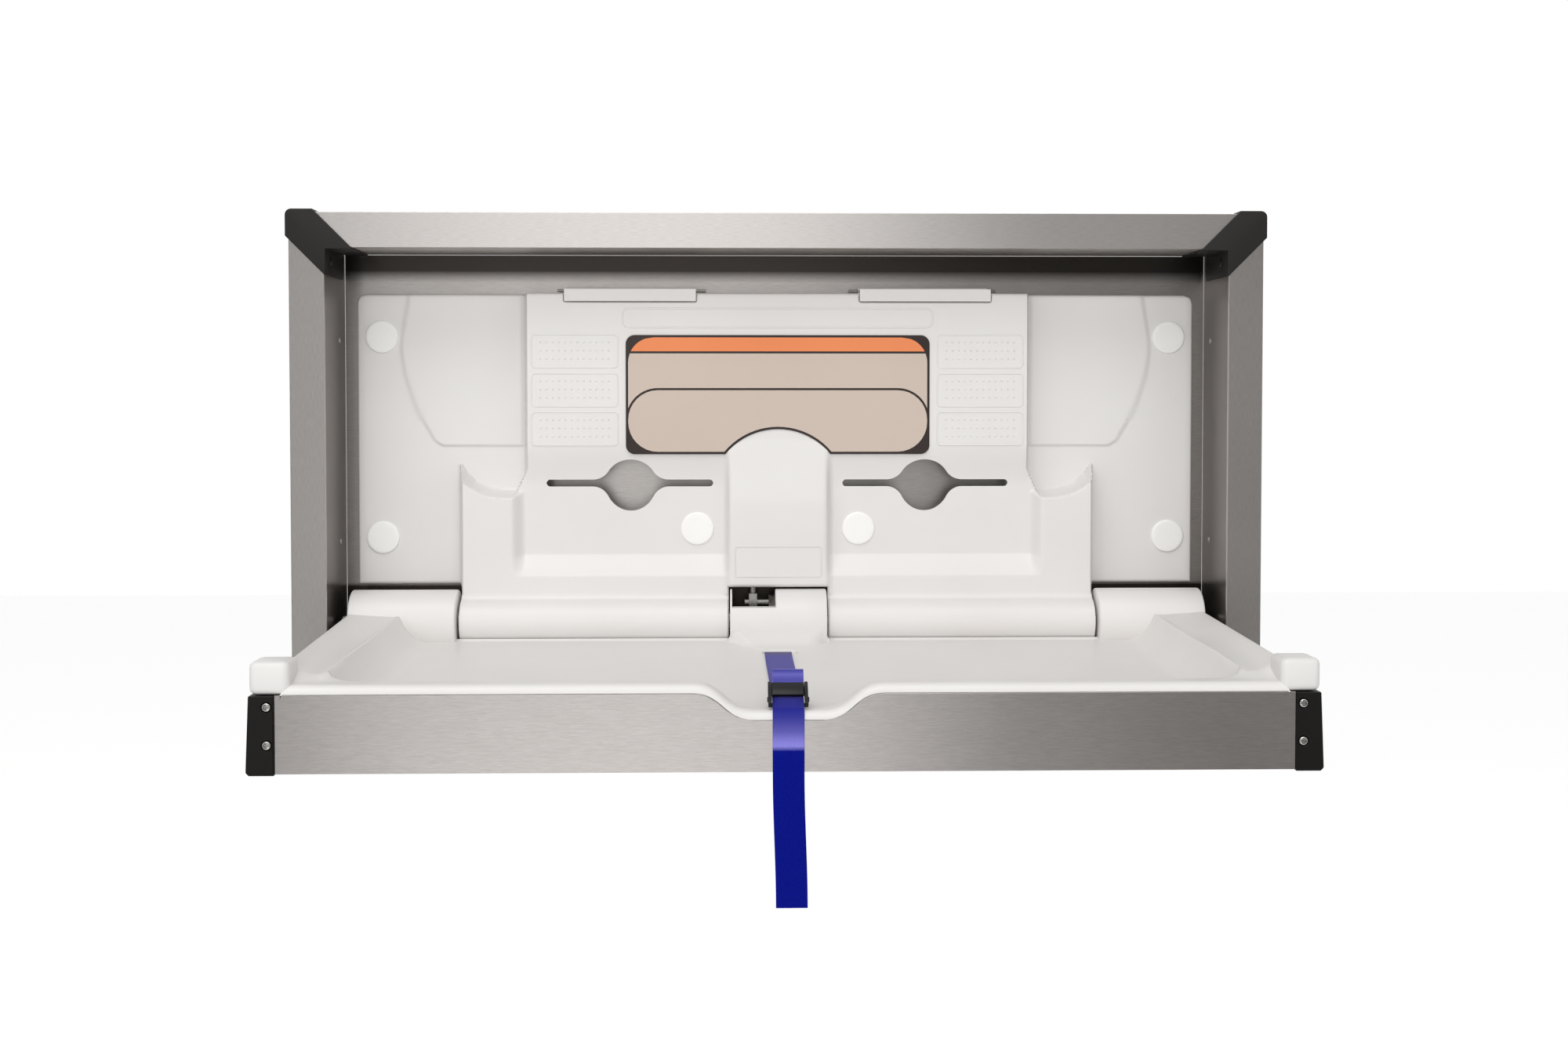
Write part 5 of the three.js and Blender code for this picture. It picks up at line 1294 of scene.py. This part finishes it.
    def rows(self) -> np.ndarray:
        """Grid lines up the liner, from its top down to its barrels."""
        foot = math.sqrt((self.barrel + self.fillet) ** 2 - self.fillet**2)
        near = (self.low, 0.045, 0.066, 0.1748)
        lines = ticks(foot, self.high, 0.006, 0.0012, near, 0.005)
        lines = [v for v in lines if not 0.12 < v < 0.2] + ticks(0.12, 0.2, 0.0014, 0.0011, (0.1748,), 0.004)
        return np.array(sorted({round(v, 6) for v in lines}, reverse=True))

    def barrel_profile(self) -> list[Flat]:
        """The fillet under the neck and the barrel's round, as (reach, level)."""
        rise = math.sqrt((self.barrel + self.fillet) ** 2 - self.fillet**2)
        meet = math.degrees(math.atan2(rise, self.fillet))
        return arc((self.fillet, rise), self.fillet, 180, 180 + meet, 5)[1:] + arc((0.0, 0.0), self.barrel, meet, -150, 40)[1:]

    def bend(self, x: float, level: float) -> Flat:
        """Draws the grid's square corners in to the liner's round ones."""
        centre = self.half - self.corner, self.high - self.corner
        out = abs(x) - centre[0], level - centre[1]
        if min(out) <= 0:
            return x, level
        share = max(out) / math.hypot(*out)
        return math.copysign(centre[0] + out[0] * share, x), centre[1] + out[1] * share

    def skin(self) -> Solid:
        """The liner's closed skin, before its holes are cut.

        Returns:
            The solid.
        """
        columns, rows = self.columns(), self.rows()
        points: list[Point] = []
        spot: dict[tuple[int, int], int] = {}
        tail = self.barrel_profile()
        on_barrel = (np.abs(columns) >= self.barrel_span[0] - 1e-6) & (np.abs(columns) <= self.barrel_span[1] + 1e-6)
        for r, level in enumerate(rows):
            reach = self.front(columns, np.full_like(columns, level))
            for c, x in enumerate(columns):
                if level >= self.low - 1e-6 or on_barrel[c]:
                    spot[r, c] = len(points)
                    bent = self.bend(x, level)
                    points.append((bent[0], float(reach[c]), bent[1]))
        for k, (reach, level) in enumerate(tail):
            for c in np.flatnonzero(on_barrel):
                end = min(abs(columns[c]) - self.barrel_span[0], self.barrel_span[1] - abs(columns[c]))
                fall = float(round_over(np.array(max(end, 0.0)), 0.002))
                size = max(math.hypot(reach, level), 1e-6)
                spot[len(rows) + k, c] = len(points)
                points.append((float(columns[c]), reach * (1 - fall / size), level * (1 - fall / size)))
        faces = []
        for (r, c), first in spot.items():
            others = [spot.get(key) for key in ((r, c + 1), (r + 1, c + 1), (r + 1, c))]
            if None not in others:
                faces.append((first, *others))
        return self.close(Solid().add(points, faces))

    def close(self, skin: Solid) -> Solid:
        """Closes the skin's open edge to a flat back.

        Args:
            skin: the open skin.

        Returns:
            The same solid, closed.
        """
        count: dict[tuple[int, int], int] = {}
        for face in skin.faces:
            for a, b in zip(face, face[1:] + face[:1]):
                count[a, b] = count.get((a, b), 0) + 1
        ahead = {b: a for a, b in count if (b, a) not in count}
        start = next(iter(ahead))
        loop = [start]
        while ahead[loop[-1]] != start:
            loop.append(ahead[loop[-1]])
        lowest = min(skin.points[i][2] for i in loop)
        kept = [i for i in loop if skin.points[i][2] >= self.low - 1e-6 or abs(skin.points[i][2] - lowest) < 0.0016]
        shadow = {i: len(skin.points) + k for k, i in enumerate(kept)}
        skin.points.extend((skin.points[i][0], self.back, skin.points[i][2]) for i in kept)
        skin.faces.append(tuple(shadow[i] for i in kept))
        order = loop + loop[:1]
        strip = [order[0]] if order[0] in shadow else []
        for i in order[1:]:
            strip.append(i)
            if i in shadow:
                skin.faces.append((*strip, shadow[i], shadow[strip[0]]))
                strip = [i]
        return skin

    def hole_outline(self, side: Side) -> list[Flat]:
        """The outline of a thumb hole that flares into its slit.

        Args:
            side: the side that it is on.

        Returns:
            The closed outline.
        """
        across = np.linspace(self.slit[0], self.slit[1], 131)
        out = np.abs(across - self.hole[0])
        foot = math.sqrt((self.hole_radius + self.hole_flare) ** 2 - (self.slit_half + self.hole_flare) ** 2)
        meet = foot * self.hole_radius / (self.hole_radius + self.hole_flare)
        bow = np.sqrt(np.clip(self.hole_radius**2 - out**2, 0, None))
        flare = self.slit_half + self.hole_flare - np.sqrt(np.clip(self.hole_flare**2 - (out - foot) ** 2, 0, None))
        ends = np.clip(1 - np.minimum(across - self.slit[0], self.slit[1] - across) / self.slit_half, 0, 1)
        straight = self.slit_half * np.sqrt(np.clip(1 - ends**2, 0.02, 1))
        height = np.where(out < meet, bow, np.where(out < foot, flare, straight))
        drop = self.hole_drop * np.clip((height - self.slit_half) / (self.hole_radius - self.slit_half), 0, 1)
        upper = [(side.value * x, self.hole[1] + h) for x, h in zip(across, height - drop)]
        return upper + [(side.value * x, self.hole[1] - h) for x, h in zip(across[::-1], (height + drop)[::-1])]

    def cutters(self) -> list[Solid]:
        """The spaces cut out of the liner: paper compartments, thumb holes and slits, lid mouths and the gaps round the lids.

        Returns:
            Solids, each of which is cut away in turn.
        """
        upper, lower, holes, mouths, gaps = (Solid() for _ in range(5))
        for side in Side:
            def mirror(low: Flat, high: Flat) -> tuple[Flat, Flat]:
                """A flat box on this side of the liner."""
                ends = sorted((side.value * low[0], side.value * high[0]))
                return (ends[0], low[1]), (ends[1], high[1])

            upper.drawn(rounded_rectangle(*mirror((0.057, 0.156), (0.235, 0.324)), 0.004), Axis.AHEAD, -0.06, -0.0105)
            lower.drawn(rounded_rectangle(*mirror((0.0572, 0.106), (0.2348, 0.162)), 0.004), Axis.AHEAD, -0.06, -0.0155)
            mouths.drawn(rounded_rectangle(*mirror((0.0855, -0.044), (0.2095, -0.0092)), 0.002), Axis.UP, 0.318, 0.345)
            gaps.drawn(rounded_rectangle(*mirror((0.0805, 0.3180), (0.2145, 0.345)), 0.003), Axis.AHEAD, -0.0088, 0.01)
            holes.drawn(self.hole_outline(side), Axis.AHEAD, -0.03, 0.02)
        return [upper, lower, holes, mouths, gaps]

    def build(self) -> None:
        """Makes the liner, its raised lines and its dots."""
        liner = self.skin().mesh("liner_moulding", 48)
        for k, cutter in enumerate(self.cutters()):
            knife = cutter.mesh(f"liner_cut_{k}", 48)
            cut = liner.modifiers.new("cut", "BOOLEAN")
            cut.object = knife
            cut.solver = "EXACT"
            bpy.context.view_layer.update()
            data = bpy.data.meshes.new_from_object(liner.evaluated_get(bpy.context.evaluated_depsgraph_get()))
            liner.modifiers.clear()
            liner.data = data
            bpy.data.objects.remove(knife)
        liner.data.set_sharp_from_angle(angle=math.radians(48))
        dress(liner, OFF_WHITE, "frame", "wall_liner")
        self.build_relief()

    def build_relief(self) -> None:
        """Makes the low beads and dots on the box front and the pillar."""
        relief = Solid()
        relief.bead(rounded_rectangle((-0.155, 0.2938), (0.155, 0.3125), 0.006), Axis.AHEAD, self.box_front, 0.0009, 0.0008)
        relief.bead(rounded_rectangle((-0.043, 0.045), (0.043, 0.075), 0.003), Axis.AHEAD, self.pillar_front, 0.0009, 0.0008)
        for side in Side:
            ends = sorted((side.value * 0.160, side.value * 0.246))
            for low in (0.176, 0.2147, 0.2534):
                relief.bead(rounded_rectangle((ends[0], low), (ends[1], low + 0.0330), 0.004), Axis.AHEAD, self.box_front, 0.0008, 0.0007)
                for x in np.linspace(ends[0] + 0.009, ends[1] - 0.009, 12):
                    for level in (low + 0.009, low + 0.0173, low + 0.0256):
                        relief.dome((float(x), self.box_front, level), 0.0011, 0.0008, Axis.AHEAD)
        dress(relief.mesh("liner_relief", 50), OFF_WHITE, "frame")


def turned_screw(solid: Solid, centre: Point, axis: Axis, sign: int, radius: float, rise: float) -> None:
    """Adds a screw head with a cross recess.

    Args:
        solid: the solid to add to.
        centre: the middle of the head's base.
        axis: the screw's axis.
        sign: the way along it that the head faces.
        radius: the head's radius.
        rise: how far the head stands up.
    """
    spot = list(centre)
    depth = spot.pop(axis.value)
    count, arm, blade = 48, 0.62 * radius, 0.17 * radius
    turns = [math.tau * (k + 0.5) / count for k in range(count)]
    reach = [min(arm, blade / max(min(abs(math.sin(t)), abs(math.cos(t))), 1e-6)) for t in turns]
    rows = ((1.0, 0.0), (1.0, 0.35), (0.9, 0.75), (0.72, 1.0))
    rings = [[(radius * size, depth + sign * rise * up)] * count for size, up in rows]
    rings += [[(r, depth + sign * rise * 1.0) for r in reach], [(0.85 * r, depth - sign * rise * 0.3) for r in reach]]
    solid.loft([
        [axis.place(spot[0] + r * math.cos(t), spot[1] + r * math.sin(t), at) for (r, at), t in zip(ring, turns)]
        for ring in rings
    ])


@dataclass
class SteelWork:
    """Frame rails, back panel and door panel of brushed sheet, and the rivets in the side rails."""

    fold: float = 0.0009
    rivet_x: float = 0.4391
    rivet_reach: float = -0.020
    rivet_levels: tuple[float, ...] = (0.281, 0.079)
    rivet_radius: float = 0.0032

    def build(self) -> None:
        """Dresses the sheets and sets the rivets."""
        for end in ("top", "bottom"):
            refinish(f"frame_{end}_rail", STEEL_ACROSS, self.fold)
        rivets = Solid()
        for side in Side:
            refinish(f"frame_{side.word}_rail", STEEL_UPRIGHT, self.fold)
            for level in self.rivet_levels:
                base = (side.value * self.rivet_x, self.rivet_reach, level)
                rivets.dome(base, self.rivet_radius, 0.0012, Axis.ACROSS, -side.value)
        dress(rivets.mesh("side_rail_rivets", 40), BRIGHT_STEEL, "frame")
        refinish("back_panel", STEEL_BACK)
        refinish("door_panel", STEEL_LIP, 0.0004)


@dataclass
class BlackFittings:
    """Corner caps of the frame and end caps of the tray's lip, with their screws."""

    cap_edge: float = 0.0014
    cap_shell: Flat = (0.4758, 0.2568)
    cap_wall: float = 0.0025
    cap_inner: Flat = (0.4387, 0.2197)
    cap_run: float = 0.026
    cap_sheet: float = 0.0012
    cap_round: float = 0.0005
    cap_corner: float = 0.006
    cap_depths: tuple[float, ...] = (-0.0337, 0.0263, 0.0503, 0.0528)
    frame_middle: float = 0.1485
    lip_screw_x: float = 0.421
    lip_screw_base: float = 0.3656
    lip_screw_levels: tuple[tuple[str, float], ...] = (("upper", -0.026), ("lower", -0.057))
    lip_screw_radius: float = 0.0034
    cap_screw_x: float = 0.4372
    cap_screw_reach: float = 0.026
    cap_screw_levels: tuple[tuple[str, float], ...] = (("top", 0.3565), ("bottom", -0.0595))
    cap_screw_radius: float = 0.0034

    def corner_cap(self, side: Side, end: int) -> Solid:
        """A corner cap: its face over the mitre, and its legs round the frame's outside and inside.

        Args:
            side: the side that it is on.
            end: 1 at the top, -1 at the bottom.

        Returns:
            The solid.
        """
        (sx, sz), (ix, iz), run, corner = self.cap_shell, self.cap_inner, self.cap_run, self.cap_corner
        wall, sheet = self.cap_wall, self.cap_sheet
        edge = [(sx - run, sz), *arc((sx - corner, sz - corner), corner, 90, 0, 6), (sx, sz - run)]
        fold = [(ix, iz - run), (ix - sheet, iz - run), (ix - sheet, iz - sheet), (ix - run, iz - sheet), (ix - run, iz)]
        outer = edge + [(sx - wall, sz - run), (sx - wall, sz - wall), (sx - run, sz - wall)]
        face, outside, within = (
            [(side.value * x, self.frame_middle + end * z) for x, z in outline] for outline in (edge + fold, outer, [(ix, iz)] + fold)
        )
        inner_end, outer_end, back, front = self.cap_depths
        rows = [(0.0, back)]
        for turn in np.radians((0, 30, 60, 90)):
            rows.append((self.cap_round * (1 - math.cos(turn)), front - self.cap_round * (1 - math.sin(turn))))
        cap = Solid().loft([[Axis.AHEAD.place(a, b, depth) for a, b in shrink(face, inset)] for inset, depth in rows])
        cap.drawn(outside, Axis.AHEAD, outer_end, back + 0.0004, 0.0003)
        return cap.drawn(within, Axis.AHEAD, inner_end, back + 0.0004, 0.0003)

    def build(self) -> None:
        """Dresses the caps and makes their screws."""
        for side in Side:
            refinish(f"lip_cap_{side.word}", BLACK, self.cap_edge, 3)
            for end, level in self.lip_screw_levels:
                screw = Solid()
                spot = (side.value * self.lip_screw_x, self.lip_screw_base, level)
                turned_screw(screw, spot, Axis.AHEAD, 1, self.lip_screw_radius, 0.0012)
                dress(screw.mesh(f"lip_cap_screw_{side.word}_{end}", 35), BRIGHT_STEEL, "tray", f"lip_screw_{side.word}_{end}")
            for end, level in self.cap_screw_levels:
                cap = self.corner_cap(side, 1 if end == "top" else -1)
                dress(cap.mesh(f"frame_cap_{end}_{side.word}", 40), CAP_BLACK, "frame", f"corner_cap_{end}_{side.word}")
                screw = Solid()
                spot = (side.value * self.cap_screw_x, self.cap_screw_reach, level)
                turned_screw(screw, spot, Axis.ACROSS, -side.value, self.cap_screw_radius, 0.0010)
                dress(screw.mesh(f"frame_cap_screw_{end}_{side.word}", 35), DARK_METAL, "frame", f"corner_cap_screw_{end}_{side.word}")


@dataclass
class LinerFittings:
    """Dispenser lids with their pins, plugs over the wall screws, and the wall screws."""

    lid_edge: float = 0.0016
    plug_radius: float = 0.0165
    plug_rise: float = 0.0017
    plugs: tuple[tuple[str, Point], ...] = (
        ("upper", (0.3995, -0.0350, 0.285)), ("lower", (0.3995, -0.0350, 0.082)), ("middle", (0.081, -0.0120, 0.092)),
    )

    def build(self) -> None:
        """Dresses the lids, pins and wall screws, and makes the plugs."""
        for side in Side:
            refinish(f"dispenser_lid_{side.word}", OFF_WHITE, self.lid_edge, 3)
            refinish(f"lid_hinge_pin_{side.word}", BRIGHT_STEEL)
            for place, (x, face, level) in self.plugs:
                refinish(f"wall_screw_{place}_{side.word}", BRIGHT_STEEL)
                plug = Solid()
                rows = ((0.94, -0.0034), (1.0, -0.0002), (1.0, 0.45), (0.985, 0.8), (0.955, 1.0), (0.80, 1.02), (0.4, 1.06))
                rings = []
                for size, up in rows:
                    at = face + (up if up < 0 else up * self.plug_rise)
                    rings.append([(a, at, b) for a, b in circle((side.value * x, level), size * self.plug_radius, 56)])
                plug.loft(rings)
                dress(plug.mesh(f"wall_plug_{place}_{side.word}", 50), WHITE, "frame", f"screw_plug_{place}_{side.word}")


@dataclass
class NoticePlate:
    """A bare plate on the box front: dark ground, an orange band and two pale fields, arched over the pillar."""

    half: float = 0.1520
    low: float = 0.167
    high: float = 0.286
    back: float = -0.0049
    face: float = -0.0038
    inlay: float = 0.00016
    margin: float = 0.0024
    arch_radius: float = 0.0678
    arch_centre: float = 0.1242
    shoulder: float = 0.025
    line: float = 0.0022
    band_low: float = 0.2698
    lower_high: float = 0.2309
    lower_corner: float = 0.0295

    def ground(self) -> list[Flat]:
        """The plate's own outline, arched over the pillar."""
        return self.arched(rounded_rectangle((-self.half, self.low), (self.half, self.high), 0.009, 8), self.low, self.arch_radius)

    def arched(self, outline: list[Flat], low: float, radius: float) -> list[Flat]:
        """Arches an outline's lower edge over the pillar.

        Args:
            outline: a rounded rectangle with nine points to a corner.
            low: its lower edge.
            radius: the arch's radius.

        Returns:
            The outline with its arch.
        """
        foot = math.degrees(math.asin((low - self.arch_centre) / radius))
        return outline[:27] + arc((0.0, self.arch_centre), radius, 180 - foot, foot, 20) + outline[27:]

    def sides(self, low: float, high: float) -> list[Flat]:
        """Both sides of the upper fields, up the right one and down the left, with their round shoulders."""
        top, end = self.high - self.margin, self.half - self.margin - self.shoulder
        right = []
        for level in np.linspace(low, high, 12):
            over = max(float(level) - (top - self.shoulder), 0.0)
            right.append((end + math.sqrt(max(self.shoulder**2 - over**2, 0.0)), float(level)))
        return right + [(-x, level) for x, level in reversed(right)]

    def fields(self) -> dict[str, tuple[list[Flat], MouldedPlastic]]:
        """The plate's coloured fields.

        Returns:
            Each field's outline and finish, by its name.
        """
        end, corner, low = self.half - self.margin, self.lower_corner, self.low + self.margin
        lower = rounded_rectangle((-end, low), (end, self.lower_high), corner, 8)
        turn = math.degrees(math.acos(corner / (corner + self.line)))
        centre, level = end - corner, self.lower_high - corner
        under = arc((-centre, level), corner + self.line, 180 - turn, 90, 10)
        under += arc((centre, level), corner + self.line, 90, turn, 10)
        return {
            "plate_top_band": (self.sides(self.band_low, self.high - self.margin), PLATE_ORANGE),
            "plate_upper_field": (under + self.sides(under[-1][1] + 0.0005, self.band_low - self.line), PLATE_BEIGE),
            "plate_lower_field": (self.arched(lower, low, self.arch_radius + self.margin), PLATE_BEIGE),
        }

    def build(self) -> None:
        """Makes the plate and its fields."""
        ground = Solid().drawn(self.ground(), Axis.AHEAD, self.back, self.face, 0.0003)
        dress(ground.mesh("plate_ground", 40), PLATE_DARK, "frame", "notice_plate")
        for name, (outline, finish) in self.fields().items():
            field = Solid().drawn(outline, Axis.AHEAD, self.face - 0.0003, self.face + self.inlay)
            dress(field.mesh(name, 40), finish, "frame")


class Ironwork(Enum):
    """Kept metal solids, by their finish."""

    BRIGHT = (
        "hinge_rod", "hinge_retainer_left", "hinge_retainer_right", "hinge_washer_left_inner", "hinge_washer_left_outer",
        "hinge_washer_right_inner", "hinge_washer_right_outer", "crank_lever", "crank_pin", "damper_rod", "damper_pin",
        "strap_anchor", "stiffener_channel_rear", "stiffener_channel_front",
    )
    DARK = ("damper_cylinder", "damper_gland", "damper_bracket")


@dataclass
class HingeAndDamper:
    """The hinge rod, the crank and the damper, and the tray's hidden stiffeners."""

    edge: float = 0.0003

    def build(self) -> None:
        """Dresses the kept metal solids."""
        for kind, finish in ((Ironwork.BRIGHT, BRIGHT_STEEL), (Ironwork.DARK, DARK_METAL)):
            for node in kind.value:
                refinish(node, finish, self.edge)


def main() -> None:
    """Builds the studio and every sub-assembly in order."""
    logging.basicConfig(level=logging.INFO, format="%(name)s: %(message)s")
    Studio().build()
    for part in (Strap(), TrayMoulding(), WallLiner(), SteelWork(), BlackFittings(), LinerFittings(), NoticePlate(), HingeAndDamper()):
        part.build()


if __name__ == "__main__":
    main()
    bpy.context.view_layer.update()
